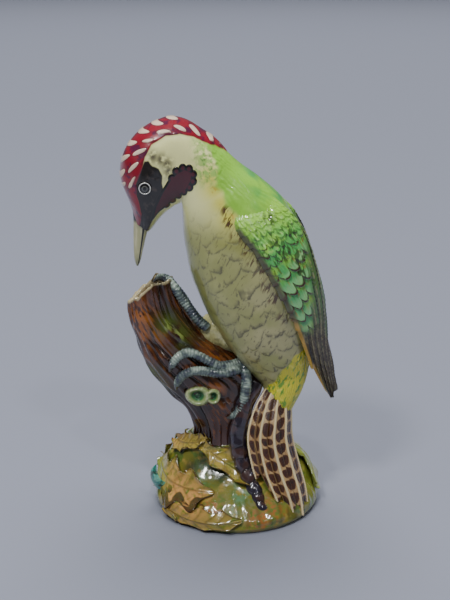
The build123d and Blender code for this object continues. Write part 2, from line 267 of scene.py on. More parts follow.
class Glaze:
    """Painted colours laid over each other under one clear, glossy glaze."""

    def __init__(self, name, ground, roughness=0.32):
        self.material = bpy.data.materials.new(name)
        self.material.use_nodes = True
        self.nodes = self.material.node_tree.nodes
        self.links = self.material.node_tree.links
        self.shader = self.nodes["Principled BSDF"]
        self.shader.inputs["Roughness"].default_value = roughness
        self.shader.inputs["Coat Weight"].default_value = 1.0
        self.shader.inputs["Coat Roughness"].default_value = 0.035
        self.shader.inputs["Coat IOR"].default_value = 1.5
        self.place = self.nodes.new("ShaderNodeTexCoord").outputs["Object"]
        self.colour = None
        self.lay(ground, 1.0)

    def read(self, value):
        """A node's output for a value: the attribute of the piece that a name stands for, a step
        between the numbers of (value, low, high) or (value, low, high, top), or the output that
        the value already is."""
        if isinstance(value, tuple):
            return self.between(*value)
        if not isinstance(value, str):
            return value
        node = self.nodes.new("ShaderNodeAttribute")
        node.attribute_name = value
        return node.outputs["Fac"]

    def feed(self, value, socket):
        """Gives an input a number, or the output that read makes of anything else."""
        if isinstance(value, (int, float)):
            socket.default_value = value
        else:
            self.links.new(self.read(value), socket)

    def mottle(self, size, detail=3.0, stretch=(1, 1, 1), turn=(0, 0, 0)):
        """Noise with lumps about size millimetres across, stretched along the turned axes."""
        mapping = self.nodes.new("ShaderNodeMapping")
        mapping.vector_type = "TEXTURE"
        mapping.inputs["Scale"].default_value = [size * UNIT * s for s in stretch]
        mapping.inputs["Rotation"].default_value = [math.radians(a) for a in turn]
        noise = self.nodes.new("ShaderNodeTexNoise")
        noise.inputs["Scale"].default_value = 1.0
        noise.inputs["Detail"].default_value = detail
        self.links.new(self.place, mapping.inputs["Vector"])
        self.links.new(mapping.outputs["Vector"], noise.inputs["Vector"])
        return noise.outputs["Fac"]

    def join(self, a, b):
        """The product of two amounts."""
        node = self.nodes.new("ShaderNodeMath")
        node.operation = "MULTIPLY"
        self.feed(a, node.inputs[0])
        self.feed(b, node.inputs[1])
        return node.outputs["Value"]

    def between(self, value, low, high, top=1.0):
        """A smooth step from 0 at low to top at high."""
        node = self.nodes.new("ShaderNodeMapRange")
        node.interpolation_type = "SMOOTHSTEP"
        node.inputs["From Min"].default_value = low
        node.inputs["From Max"].default_value = high
        node.inputs["To Max"].default_value = top
        self.feed(value, node.inputs["Value"])
        return node.outputs["Result"]

    def lay(self, colour, *amounts):
        """Paints a colour over what is there, by the product of amounts from 0 to 1. Each is a
        number or a value for read."""
        node = self.nodes.new("ShaderNodeMix")
        node.data_type = "RGBA"
        factor, below, above = node.inputs["Factor"], node.inputs[6], node.inputs[7]
        above.default_value = linear(colour)
        if self.colour is None:
            below.default_value = linear(colour)
        else:
            self.links.new(self.colour, below)
        self.feed(functools.reduce(self.join, amounts), factor)
        self.colour = node.outputs[2]

    def finish(self, *bumps):
        """Joins the colours to the shader, with bumps given as (height, millimetres)."""
        self.links.new(self.colour, self.shader.inputs["Base Color"])
        below = None
        for height, depth in bumps:
            bump = self.nodes.new("ShaderNodeBump")
            bump.inputs["Strength"].default_value = 1.0
            bump.inputs["Distance"].default_value = depth * UNIT
            self.feed(height, bump.inputs["Height"])
            if below is not None:
                self.links.new(below, bump.inputs["Normal"])
            below = bump.outputs["Normal"]
        if below is not None:
            self.links.new(below, self.shader.inputs["Normal"])
        return self.material


# ---- the bird's body: one surface for the head, torso and rump, parted where the CAD parts it

# Throat or belly point x, z; crown or back point x, z; half width; y of the middle; turn
BODY = [
    (-50.6, 167.1, -56.8, 172.6, 5.0, 0, 12),
    (-48.1, 169.5, -59.2, 181.9, 8.5, 0, 12),
    (-45.1, 173.2, -62.1, 189.3, 11.5, 0, 11),
    (-41.7, 176.9, -64.2, 196.6, 13.8, 0, 10),
    (-38.2, 179.4, -64.3, 202.7, 15.3, 0, 9),
    (-35.5, 181.1, -62.6, 210.5, 16.5, 0, 8),
    (-33.3, 182.0, -58.6, 216.6, 17.2, 0, 7),
    (-31.9, 182.2, -52.2, 222.9, 17.6, 0, 6),
    (-31.2, 181.6, -45.1, 227.0, 17.7, 0, 5),
    (-31.0, 179.8, -36.5, 229.0, 17.5, 0, 4),
    (-31.0, 177.4, -26.6, 226.3, 17.2, 0, 2),
    (-31.0, 174.0, -14.4, 218.2, 17.6, 0, 0),
    (-30.7, 165.0, -1.2, 205.6, 20.0, 0, 0),
    (-29.2, 153.5, 13.5, 194.6, 23.5, 0, 0),
    (-25.5, 138.0, 27.5, 180.5, 26.5, 0, 0),
    (-17.6, 118.0, 38.5, 155.5, 27.5, 0, 0),
    (-6.0, 98.0, 43.0, 124.0, 24.0, 0, 0),
    (5.0, 84.0, 42.8, 100.0, 18.5, 0, 0),
    (13.0, 74.5, 42.0, 85.0, 14.5, 0, 0),
    (15.5, 70.0, 38.5, 72.0, 12.8, -2, 0),
    (17.0, 65.5, 33.0, 61.0, 11.5, -3, 0),
    (19.0, 60.0, 29.5, 54.0, 9.0, -4, 0),
]
NECK_ROW = 11
RUMP_ROW = 18
NAPE_X = -14.0  # the head turns about the upright line through here
FACE_TURN = 12  # degrees, at the beak


def swung(x, side, degrees):
    """x and y of a point that was x along and side across, after the head's turn."""
    swing = np.radians(degrees)
    forward = x - NAPE_X
    return (
        NAPE_X + forward * np.cos(swing) - side * np.sin(swing),
        forward * np.sin(swing) + side * np.cos(swing),
    )




def body_grid(t, columns=320):
    """The body at the rows t of its table. A point is the middle of its row, plus the cosine
    of its angle from the back times half the row's depth, plus the sine times its half width.
    Also returns the points before the head is turned, the angle and the row."""
    front_x, front_z, back_x, back_z, half_width, y, turn = station(BODY, t).T[..., None]
    angle = around(columns) + 0 * front_x
    fullness = 1 + 0.05 * np.sin(2 * angle) ** 2
    reach = np.cos(angle) * fullness
    x = (front_x + back_x) / 2 + reach * (back_x - front_x) / 2
    z = (front_z + back_z) / 2 + reach * (back_z - front_z) / 2
    side = np.sin(angle) * half_width * fullness
    straight = np.stack([x, y + side, z], -1)
    turned_x, turned_y = swung(x, side, turn)
    return np.stack([turned_x, y + turned_y, z], -1), straight, angle, t[:, None] + 0 * angle


def body_feathers(straight, angle, t):
    """Feather count across and along the body: eight and a half across each side, rows by the
    distance from the beak down the flank, both bent by noise as hand-cut feathers are."""
    lengths = np.cumsum([0, 4, 5, 6, 6, 7, 7, 7, 7, 8, 9, 10, 13, 15, 17, 20, 22, 17, 13, 9, 8, 8])
    along = station(lengths[:, None], t)[..., 0] / 8.5
    across = (np.pi - np.abs(angle - np.pi)) / np.pi * 8.5
    return (
        across + 0.4 * lumps(straight, 12, 3) + 0.10 * lumps(straight, 4, 5),
        along + 0.5 * lumps(straight, 14, 4) + 0.14 * lumps(straight, 4, 6),
    )


# Outlines of the painted patches, seen from the side of the straight bird: x, z
CROWN = [
    (-56.6, 166), (-55.2, 174), (-55.4, 182), (-57.4, 190), (-57.6, 196), (-54.2, 204), (-51.5, 211),
    (-47.8, 216.8), (-40.2, 221.0), (-32.4, 222.0), (-24.4, 220.0), (-16.6, 216.6), (-10.9, 213.4),
    (-6.5, 210.5), (-5.5, 211.5), (-20, 235), (-72, 235), (-72, 166),
]
MASK = [
    (-57.0, 166), (-55.6, 174), (-55.8, 182), (-57.8, 190), (-58.0, 196), (-54.8, 204), (-52.2, 208.5),
    (-50.0, 208.8), (-47.6, 206.2), (-44.4, 204.8), (-42.6, 201), (-42.8, 196), (-42.6, 191), (-45, 185),
    (-47.5, 179.0), (-50.0, 173.5), (-51, 169),
]
MOUSTACHE = [
    (-50.0, 175.5), (-46.2, 180.0), (-40.0, 184.8), (-34.0, 189.0), (-28.0, 192.8), (-25.0, 198.0),
    (-25.0, 202.3), (-29.4, 204.2), (-34.3, 202.4), (-38.6, 198.6), (-43.4, 192.0), (-47.6, 184.0),
]
MOUSTACHE_LOBES = [
    (-37.2, 199.2), (-34.6, 203.0), (-30.8, 204.6), (-27.0, 204.0), (-24.6, 201.0), (-24.6, 197.2),
    (-26.6, 193.9), (-30.0, 191.6), (-33.8, 189.4), (-37.6, 187.0), (-41.2, 184.4),
]
LOBE_RADIUS = 2.5
MOUSTACHE_MARGIN = 0.7  # how far the patch runs past its outline
MANTLE = [
    (-21, 219.5), (-16, 213), (-12.6, 207.5), (-12.2, 202), (-12.5, 194), (-5, 184), (0, 175), (10, 166),
    (20, 152), (30, 135), (60, 135), (60, 245), (-18, 245),
]
YELLOW_RUMP = [(60, 104), (42, 102), (33, 97), (26, 86), (18, 75), (12, 62), (16, 46), (60, 46)]
# Places along the front edge of the wing, in the middle of the cheek, and below the shoulder
WING_LINE = [
    (-6, 182), (-5, 176), (-1, 168.5), (3.5, 162), (8, 155), (12.5, 148), (16, 141), (19.5, 133.5), (25, 122),
]
GREY_CHEEK = [(-47.5, 211), (-43.0, 209.5), (-39.8, 207.0), (-38.6, 203.0)]
WARM_SHOULDER = [(-9, 186), (-5, 179), (-13, 193), (-15, 199)]

# The crown's bars lie in rows round a circle seen from the side: its middle x, z and radius, then
# how far out the first row's middle is, how far apart the rows and the bars in a row are, and half
# a bar's length and width
CROWN_CIRCLE = (-32, 197, 20.5)
FIRST_BARS = 6.8
BAR_ROWS = 5.2
BAR_SPACING = 8.6
HALF_BAR = (4.3, 0.95)


def crown_dashes(straight):
    """Pale feather tips on the crown: bars in rows round the head, each turned out of its row,
    with every other row moved on by half a bar. None lie below the eye. Returns 1 in the middle
    of a bar, less the distances from there along it and across it, each as a power of its share
    of half the bar; so it falls to 0 at the bar's outline."""
    middle_x, middle_z, radius = CROWN_CIRCLE
    forward = straight[..., 0] - middle_x
    upward = straight[..., 2] - middle_z
    out = np.hypot(forward, upward) - radius - FIRST_BARS + 0.5 * lumps(straight, 9, 6)
    row = np.round(out / BAR_ROWS)
    off_row = out - BAR_ROWS * row
    along = np.arctan2(upward, forward) * (radius + FIRST_BARS + BAR_ROWS * row) / BAR_SPACING
    along = along + 0.5 * (row % 2) + 0.10 * lumps(straight, 9, 7)
    apart = (along - np.round(along)) * BAR_SPACING
    turn = np.radians(26 + 12 * lumps(straight, 14, 12))
    long_way = apart * np.cos(turn) + off_row * np.sin(turn)
    short_way = off_row * np.cos(turn) - apart * np.sin(turn)
    half_length, half_width = HALF_BAR
    bar = 1 - np.abs(long_way / half_length) ** 2.2 - (short_way / half_width) ** 2
    return bar - 2 * ease(straight[..., 2], 195, 190)


def body_relief(straight, angle, t):
    """Height of the moulded feathers over the whole body, and the numbers it is painted by."""
    x, z = straight[..., 0], straight[..., 2]
    sides = straight[..., [0, 2]]
    across, along = body_feathers(straight, angle, t)
    feather, rim = scallops(across, along)
    tuft, tuft_rim = scallops(across * 2.0, along * 2.2)
    wavy = sides + 0.35 * lumps(straight, 3.0, 9)[..., None]
    crown = inside(wavy, CROWN)
    mask = inside(wavy, MASK)
    ragged = 1.8 * lumps(straight, 4, 3)
    mantle = inside(sides, MANTLE) + ragged
    yellow = inside(sides, YELLOW_RUMP) + ragged
    moustache = inside(sides, MOUSTACHE) + MOUSTACHE_MARGIN
    for lobe in MOUSTACHE_LOBES:
        moustache = np.maximum(moustache, LOBE_RADIUS - np.linalg.norm(sides - lobe, axis=-1))
    dashes = crown_dashes(straight)
    from_belly = np.abs(angle - np.pi) / np.pi
    flank = ease(z, 186, 150) * ease(from_belly, 0.02, 0.42) * ease(mantle, 1, -3)
    nape = ease(x, -29, -17) * ease(z, 190, 203) * ease(crown, 0.5, -1) * ease(mantle, 9, 2)
    by_wing = near(sides, WING_LINE, 4.6)
    barb = np.sin(across * 21 + 2.5 * lumps(straight, 5, 8))
    height = 0.36 * (feather - 0.5) * (0.15 + 0.85 * flank) + 0.4 * (tuft - 0.5) * nape
    height = height + barb * (0.07 * ease(mantle, 0, 4) + 0.14 * ease(yellow, 0, 3))
    height = height + 0.45 * ease(crown, -0.7, 0.7) + 0.25 * ease(dashes, 0, 0.6) * ease(crown, 0.5, 2)
    height = height + 0.5 * ease(moustache, -0.2, 0.8)
    height = height + 0.28 * lumps(straight, 8, 8) + 0.14 * lumps(straight, 3.2, 2) * ease(mask, -8, -1)
    return height, {
        "crown": crown, "mask": mask, "moustache": moustache, "dashes": dashes, "rim": rim, "flank": flank,
        "nape": nape, "tuft_rim": tuft_rim, "mantle": mantle, "yellow": yellow,
        "by_wing": by_wing, "low": ease(z, 168, 118) * ease(x, -18, 14),
        "cheek": near(sides, GREY_CHEEK, 3.6),
        "warm": near(sides, WARM_SHOULDER, 6.5),
        "shade": ease(from_belly, 0.30, 0.02) * ease(z, 186, 160),
        # upper: the pale cream of the neck and throat, together with painted light that brightens the top of
        # the body
        "upper": ease(z, 162, 188),
    }


BODY_PARTS = (
    ("head", 0, NECK_ROW, 280, "head_glaze"),
    ("torso", NECK_ROW, RUMP_ROW, 260, "breast_glaze"),
    ("rump_coverts", RUMP_ROW, len(BODY) - 1, 90, "rump_glaze"),
)


def make_body():
    """One surface from the face to the rump, so that its parts meet point for point and are
    shaded by the same normals where they meet."""
    steps = [np.linspace(first, last, rows, endpoint=False) for _, first, last, rows, _ in BODY_PARTS]
    grid, straight, angle, t = body_grid(np.concatenate([*steps, [len(BODY) - 1.0]]))
    height, painted = body_relief(straight, angle, t)
    surface = raised(grid, height)
    normals = outward(surface)
    start = 0
    for name, _, _, rows, slot in BODY_PARTS:
        part = slice(start, start + rows + 1)
        paint = {label: values[part] for label, values in painted.items()}
        piece = make_piece(name, surface[part], BODY_GLAZE, slot, [name], **paint)
        piece.data.normals_split_custom_set_from_vertices(normals[part].reshape(-1, 3).tolist())
        start += rows


def body_glaze():
    glaze = Glaze("body_glaze", "#9ea05c")
    wash = glaze.mottle(20, 3)
    fine = glaze.mottle(3.0, 4)
    strokes = glaze.mottle(1.5, 3, stretch=(1, 1, 4.5), turn=(0, 28, 0))
    glaze.lay("#b8b876", (wash, 0.48, 0.66, 0.6))
    # the neck's own cream, painted near white towards the top as painted light from above
    glaze.lay("#fbfbb0", "upper", 0.97)
    glaze.lay("#7e8440", "shade", 0.75)
    glaze.lay("#bcb682", "low", (wash, 0.32, 0.6, 0.85))
    edge = glaze.join("rim", (fine, 0.34, 0.5))
    glaze.lay("#4f4a34", edge, "flank", 0.85)
    quill = glaze.join((strokes, 0.54, 0.64), "flank")
    glaze.lay("#645e40", quill, (fine, 0.44, 0.56, 0.75))
    glaze.lay("#e2dc4e", "warm", 0.85)
    glaze.lay("#d4b044", ("warm", 0.6, 1.0), (fine, 0.57, 0.68))
    glaze.lay("#5c4528", ("by_wing", 0.25, 0.9), (strokes, 0.47, 0.56))
    glaze.lay("#a5cf66", "nape", (fine, 0.38, 0.56))
    glaze.lay("#5a9a48", "nape", "tuft_rim", (fine, 0.44, 0.6))
    mantle = glaze.between("mantle", -1.6, 2.2)
    glaze.lay("#93d044", mantle)
    glaze.lay("#b8e06a", mantle, (wash, 0.5, 0.66, 0.7))
    glaze.lay("#3fa558", ("mantle", 9, 22), (wash, 0.36, 0.56))
    yellow = glaze.between("yellow", -0.8, 0.8)
    glaze.lay("#d9d11c", yellow)
    glaze.lay("#f0e85a", yellow, (fine, 0.54, 0.66, 0.7))
    glaze.lay("#6aa01e", yellow, (strokes, 0.52, 0.62))
    glaze.lay("#625d4a", "cheek", (fine, 0.28, 0.52))
    glaze.lay("#1c1714", ("mask", -0.4, 0.5))
    glaze.lay("#3f352e", ("mask", 1.0, 4.0), (fine, 0.5, 0.66))
    glaze.lay("#0f0c0c", ("moustache", -0.2, 0.25))
    glaze.lay("#4c0818", ("moustache", 1.15, 1.6))
    crown = glaze.between("crown", -0.3, 0.3)
    glaze.lay("#8f1228", crown)
    glaze.lay("#5a1038", crown, (glaze.mottle(4.5, 3), 0.5, 0.62))
    bar = glaze.between("dashes", -0.05, 0.35)
    glaze.lay("#600c24", crown, ("dashes", -0.9, -0.2, 0.6))
    glaze.lay("#e6cdb4", bar, ("crown", 1.0, 2.0))
    return glaze.finish((glaze.mottle(1.6, 2), 0.05), (strokes, 0.05))


# ---- beak and eyes


# Beak from the face to the tip: x and z of the forehead side, the mouth line and the chin side,
# then the half width
BEAK = [
    (-59.0, 181.0, -52.8, 178.0, -49.0, 175.5, 5.0),
    (-58.6, 174.0, -53.4, 171.4, -50.4, 169.5, 4.5),
    (-58.8, 166.0, -54.2, 164.5, -52.1, 163.5, 3.7),
    (-58.9, 158.0, -55.3, 157.2, -53.8, 156.6, 2.8),
    (-58.6, 151.5, -56.3, 151.0, -55.3, 150.7, 1.7),
    (-57.6, 147.6, -57.1, 147.4, -56.8, 147.3, 0.25),
]


def mandible_grid(outer, rows=90, columns=64):
    """Half of the beak: the outer line's half ellipse over a flat mouth side. outer is the
    first column of the forehead side (0) or of the chin side (4)."""
    table = station(BEAK, np.linspace(0, len(BEAK) - 1, rows))
    edge, mouth, half_width = table[:, None, outer : outer + 2], table[:, None, 2:4], table[:, None, 6]
    angle = around(columns)
    rise = np.where(np.sin(angle) > 0, np.sin(angle), 0.06 * np.sin(angle))[..., None]
    across = np.cos(angle) * half_width
    middle = mouth + rise * (edge - mouth)
    return np.stack([middle[..., 0], across, middle[..., 1]], -1)


def make_beak():
    for name, outer in (("upper_mandible", 0), ("lower_mandible", 4)):
        grid = mandible_grid(outer)
        ridge = 0.12 * np.sin(np.linspace(0, 9, grid.shape[1]))[None, :] + 0 * grid[..., 0]
        tip = ease(grid[..., 2], 156, 148)
        mouth = np.abs(np.linspace(-1, 1, grid.shape[1], endpoint=False))[None, :]
        x, side, z = np.moveaxis(raised(grid, ridge), -1, 0)
        turned = np.stack([*swung(x, side, FACE_TURN), z], -1)
        make_piece(
            name, turned, BEAK_GLAZE, "beak_glaze", [name],
            tip=tip, face=ease(grid[..., 2], 168, 176), lip=ease(mouth, 0.07, 0.02) + ease(mouth, 0.93, 0.98),
        )


EYE_AT = (-53.0, 194.1)  # x, z on the straight head
EYE_RADIUS = 3.5
# Share of the radius and height off the head, from under the lid's ring to the pupil's middle
EYE_PROFILE = [
    (1.3, -1.6), (1.08, -0.2), (0.98, 0.5), (0.86, 0.85), (0.74, 0.6), (0.5, 0.95), (0.25, 1.2), (0.02, 1.3),
]


def make_eyes():
    """Each eye: a low dome seated on the head along the normal there, whose profile steps down
    from the pupil to the ring of the lid."""
    grid, straight, *_ = body_grid(np.linspace(0, NECK_ROW, 200))
    normals = outward(grid)
    for name, side in (("left_eye", -1), ("right_eye", 1)):
        apart = np.linalg.norm(straight[..., [0, 2]] - EYE_AT, axis=-1) + 99 * (straight[..., 1] * side < 0)
        seat = np.unravel_index(np.argmin(apart), apart.shape)
        eye, share = boss(grid[seat], EYE_RADIUS, EYE_RADIUS, normals[seat], EYE_PROFILE)
        make_piece(name, eye, EYE_GLAZE, "eye_glaze", [name], share=share)


def beak_glaze():
    glaze = Glaze("beak_glaze", "#b6b484")
    glaze.lay("#cfcba0", (glaze.mottle(3, 2, stretch=(1, 1, 5)), 0.45, 0.65))
    glaze.lay("#7d8058", "tip", 0.7)
    glaze.lay("#15130f", ("lip", 0.2, 0.7))
    glaze.lay("#2a2822", ("face", 0.5, 0.95))
    return glaze.finish((glaze.mottle(1.2, 2, stretch=(1, 1, 6)), 0.04))


def eye_glaze():
    glaze = Glaze("eye_glaze", "#0c0b0a", roughness=0.15)
    ring = glaze.join(("share", 0.78, 0.82), ("share", 0.96, 0.92))
    glaze.lay("#f0efe8", ring)
    inner = glaze.join(("share", 0.26, 0.32), ("share", 0.5, 0.44))
    glaze.lay("#6e6f6c", inner, 0.8)
    return glaze.finish()


# ---- wings

# Left wing, shoulder to tip: front edge x, y, z; back edge x, y, z; how far it bulges
WING = [
    (3.5, -15.0, 187.0, 12.0, -9.0, 190.0, 0.5),
    (-2.5, -20.0, 181.0, 19.0, -9.0, 186.5, 3.2),
    (-1.8, -23.8, 172.5, 27.0, -7.5, 179.5, 7.0),
    (8.0, -27.6, 160.5, 34.5, -7.0, 168.5, 8.0),
    (17.0, -29.2, 146.0, 41.0, -7.5, 153.0, 7.8),
    (24.8, -28.4, 132.5, 45.2, -7.0, 136.5, 7.0),
    (31.0, -25.8, 119.5, 48.2, -6.0, 119.0, 6.2),
    (35.2, -21.5, 108.0, 50.0, -5.5, 106.0, 5.4),
    (39.6, -17.0, 96.5, 52.0, -5.0, 95.5, 4.4),
    (44.8, -12.5, 84.5, 55.0, -4.5, 84.5, 3.4),
    (50.2, -8.8, 73.5, 57.6, -4.0, 73.5, 2.4),
    (54.8, -6.4, 66.0, 57.4, -4.6, 66.4, 0.9),
]
COVERTS_END = 7  # row where the primaries begin
LONG_FEATHERS = 5.4  # slats across the wing
DARK_CLUMPS = [
    (21, -28, 168), (25, -28, 160), (33, -25, 157), (40, -20, 158), (29, -22, 171), (18, -24, 180),
    (36, -24, 148),
]


def wing_grid(first, last, rows, columns):
    """The left wing between two rows of its table. A point is the middle of the row's edges,
    plus the cosine of an angle times half the way from front to back, plus the sine times the
    bulge along the normal; the inner side is flatter, and the rear feathers end short of the
    tip. Also returns the share across from the front edge, the row and which points face out."""
    angle = around(columns)
    across = (1 - np.cos(angle)) / 2
    t = np.linspace(first, last, rows)[:, None] + 0 * angle
    table = station(WING, t - 0.6 * ease(t, 9.4, 11) * ease(across, 0.5, 0.57))
    front, back, bulge = table[..., :3], table[..., 3:6], table[..., 6:]
    normal = unit(np.cross(unit(np.gradient(front + back, axis=0)), back - front))
    normal = normal * np.sign(-normal[..., 1:2])
    out = np.sin(angle)[..., None]
    rise = np.where(out > 0, np.abs(out) ** 0.8, 0.45 * out)
    grid = (front + back) / 2 - np.cos(angle)[..., None] * (back - front) / 2 + rise * bulge * normal
    return grid, across + 0 * t, t, (out[..., 0] > -0.2) + 0 * t


def wing_relief(grid, across, t, facing):
    """Heights and painted numbers of the feathers: small tufts on the shoulder, then slanted
    rows of large scallops down the front, and long blades that overlap like slats over the rear
    and lower part."""
    wobble = lumps(grid, 7, 5)
    tuft, tuft_rim = scallops(across * 7.5 - 0.5 * t + 0.3 * wobble, t * 3.2 + 0.4 * wobble)
    slanted = t * 1.75 + across * 1.2 + 0.12 * wobble
    scallop, scallop_rim = scallops(across * 4.4 - 0.7 * t + 0.1 * wobble, slanted)
    is_large = ease(t + 1.2 * across, 3.7, 4.5)
    blade = across * LONG_FEATHERS + 0.34 * t + 0.08 * wobble
    share = blade - np.floor(blade)
    is_long = np.maximum(ease(t + 5.4 * (across - 0.45), 5.0, 6.0), ease(t, 6.2, 6.9))
    shaft = np.exp(-(((share - 0.5) / 0.08) ** 2))
    gap = np.exp(-((np.minimum(share, 1 - share) / 0.12) ** 2))
    barbs = np.sin(t * 40 + np.abs(share - 0.5) * 14)
    begun = ease(t, 1.2, 2.6)
    tufted = (1 - is_long) * (1 - is_large) * begun
    scaled = (1 - is_long) * is_large * begun
    height = 0.95 * tufted * (tuft - 0.45) + 1.7 * scaled * (scallop - 0.45)
    height = height + is_long * (2.0 * (share**1.4 - 0.5) + 0.3 * shaft + 0.08 * barbs)
    height = height + 0.12 * np.sin(across * 90 + 4 * wobble) * (1 - is_long) + 0.35 * lumps(grid, 8, 7)
    rim = 0.7 * tufted * tuft_rim + scaled * scallop_rim
    hatch = 0.5 + 0.5 * np.sin(across * 60 + t * 9 + 3 * lumps(grid, 3, 8))
    clumps = near(grid, DARK_CLUMPS, 7.0) * ease(hatch + 0.9 * lumps(grid, 2.2, 9), 0.1, 0.75) * (1 - is_long)
    # The large scallops' height is kept so that a painted highlight lies on their raised tips
    return height * facing, {
        "rim": rim, "large": is_large * (1 - is_long), "long": is_long, "gap": is_long * gap,
        "shaft": is_long * shaft, "row": t, "across": across, "clumps": clumps, "crest_highlight": is_large * scallop,
    }


def make_wings():
    """The left wing in two pieces, raised by its relief, and its mirror image in y on the right."""
    for part, first, last, rows, columns, slot in (
        ("wing", 0, COVERTS_END, 290, 270, "wing_glaze"),
        ("primaries", COVERTS_END, len(WING) - 1, 150, 190, "flight_feather_glaze"),
    ):
        grid, across, t, facing = wing_grid(first, last, rows, columns)
        height, painted = wing_relief(grid, across, t, facing)
        grid = raised(grid, height)
        for side, sign in (("left", 1), ("right", -1)):
            name = f"{side}_{part}"
            make_piece(name, grid * (1, sign, 1), WING_GLAZE, slot, [name], **painted)


def wing_glaze():
    glaze = Glaze("wing_glaze", "#98d246")
    patches = glaze.mottle(8, 3)
    fine = glaze.mottle(2.6, 4)
    strokes = glaze.mottle(1.3, 3, stretch=(1, 1, 4.5), turn=(0, -30, 0))
    glaze.lay("#5ab85c", ("row", 1.9, 3.4), (patches, 0.3, 0.56))
    glaze.lay("#4fa862", ("row", 3.0, 4.6), (patches, 0.42, 0.6))
    glaze.lay("#a9d678", (fine, 0.56, 0.66), ("row", 5.6, 2.0, 0.8))
    early = glaze.join(("row", 1.4, 3.0), ("row", 4.6, 3.8))
    glaze.lay("#35602c", early, (strokes, 0.53, 0.61, 0.75))
    glaze.lay("#9c7a30", "large", (strokes, 0.54, 0.64, 0.8))
    # painted highlight: pale green on the raised tips of the large scallops
    glaze.lay("#93d48e", "large", ("crest_highlight", 0.4, 0.75, 0.75))
    outline = glaze.between(glaze.join("rim", ("row", 2.0, 3.4)), 0.12, 0.6)
    glaze.lay("#43240e", outline, (fine, 0.3, 0.44))
    glaze.lay("#2c3a1c", ("clumps", 0.3, 0.8, 0.8))
    glaze.lay("#4c3a20", ("across", 0.07, 0.01), ("row", 1.7, 2.3), 0.9)
    glaze.lay("#4c6a34", "long", 0.92)
    brown = glaze.join("long", ("row", 5.0, 7.2))
    glaze.lay("#4e3f28", brown)
    glaze.lay("#7a7452", brown, (strokes, 0.5, 0.62, 0.75))
    glaze.lay("#57784a", "long", (patches, 0.52, 0.62), ("row", 8.5, 6.0, 0.8))
    glaze.lay("#b3a87c", "shaft", (fine, 0.38, 0.56, 0.7))
    glaze.lay("#150e08", ("gap", 0.12, 0.6, 0.96))
    edge = glaze.join(("across", 0.035, 0.012), ("row", 5.6, 6.4))
    glaze.lay("#d4a850", edge)
    return glaze.finish((strokes, 0.16))


# ---- tail

# Tail: height, centre x, y of the fan's axis, radius
TAIL = [
    (1, 28.0, -22.5, 14.2),
    (15, 25.0, -19.0, 15.4),
    (30, 20.5, -14.5, 15.6),
    (45, 17.3, -10.5, 15.0),
    (56, 18.0, -8.0, 13.8),
    (67, 20.5, -5.0, 11.0),
    (79, 25.0, -3.0, 7.0),
]
TAIL_ROOT = TAIL[-1][0]
TAIL_FACES = -42.0  # degrees from +X to the way that the middle of the fan's top side faces
TAIL_SPREAD = 112.0  # degrees from there to each edge
TAIL_TIPS = [24, 13, 6.5, 2.5, 6.5, 12, 22]  # height of each feather's tip, from the left edge round
TAIL_THICKNESS = 2.6
BLOTCH_SPACING = 6.9


def make_tail():
    """A fan round the stump. Its outer face is the axis at a height plus the radius along an
    angle, and each feather is a slat that lies over the next, with a ridge for its shaft and a
    tip that reaches lowest at its middle; the inner face runs back at a smaller radius."""
    rows, half = 230, 200
    share = np.concatenate([np.linspace(0, 1, half), np.linspace(1, 0, half)])
    outer = np.concatenate([np.ones(half), np.zeros(half)])
    feather = share * len(TAIL_TIPS)
    which = np.minimum(np.floor(feather), len(TAIL_TIPS) - 1).astype(int)
    within = (feather - which) * 2 - 1
    tip = np.array(TAIL_TIPS)[which] + 5.0 * np.abs(within) ** 2.2
    down = np.linspace(0, 1, rows)[:, None]
    z = TAIL_ROOT + (tip[None, :] - TAIL_ROOT) * down
    centre_x, centre_y, radius = at_height(TAIL, z)
    gathered = 1 - 0.16 * ease(z, 30, 2)
    angle = np.radians(TAIL_FACES + TAIL_SPREAD * gathered * (2 * share - 1)[None, :])
    shaft = np.exp(-((within / 0.14) ** 2))
    length = (TAIL_ROOT - z) / BLOTCH_SPACING
    barbs = 0.5 + 0.5 * np.sin(length * 30 + np.abs(within) * 9)
    overlap = within * np.sign(3.1 - which)
    relief = 1.3 * (1 - within**2) + 0.8 * overlap + 0.9 * shaft + 0.16 * barbs
    relief = relief * ease(down, 0.02, 0.3)
    reach = radius - TAIL_THICKNESS + outer * (TAIL_THICKNESS - 1.6 + relief)
    grid = np.stack([centre_x + reach * np.cos(angle), centre_y + reach * np.sin(angle), z], -1)
    column = np.floor(feather + 0.5)
    from_middle = (feather + 0.5 - column) * 2 - 1
    count = length + 0.37 * column + 0.3 * from_middle**2 + 0.3 * lumps(grid, 8, 4)
    off = count - np.floor(count) - 0.5
    blotch = 1 - (off / 0.46) ** 2 - np.abs(from_middle / 0.84) ** 3.2 + 0.25 * lumps(grid, 2.2, 5)
    make_piece(
        "tail", grid, TAIL_GLAZE, "tail_glaze", ["tail"],
        shaft=np.exp(-((within / 0.2) ** 2)), edge=np.exp(-(((1 - np.abs(within)) / 0.09) ** 2)),
        blotch=blotch * ease(down, 0.01, 0.06), barbs=barbs, root=ease(z, 46, 66),
    )


def tail_glaze():
    glaze = Glaze("tail_glaze", "#b99768")
    strokes = glaze.mottle(1.4, 3, stretch=(1, 1, 5))
    glaze.lay("#a07a4c", (strokes, 0.45, 0.62))
    glaze.lay("#c8a56a", (glaze.mottle(6, 2), 0.5, 0.66, 0.7))
    glaze.lay("#c0a67c", "root", (strokes, 0.3, 0.5), 0.85)
    dark = glaze.between("blotch", -0.05, 0.3)
    glaze.lay("#4a2410", dark, (strokes, 0.14, 0.36))
    glaze.lay("#2a140c", ("blotch", 0.4, 0.9), (strokes, 0.42, 0.58))
    glaze.lay("#c9a974", ("edge", 0.4, 0.85, 0.3))
    glaze.lay("#ecd9a6", ("shaft", 0.3, 0.7))
    return glaze.finish((strokes, 0.12), ("barbs", 0.05))


# ---- branch, stump, knot and root

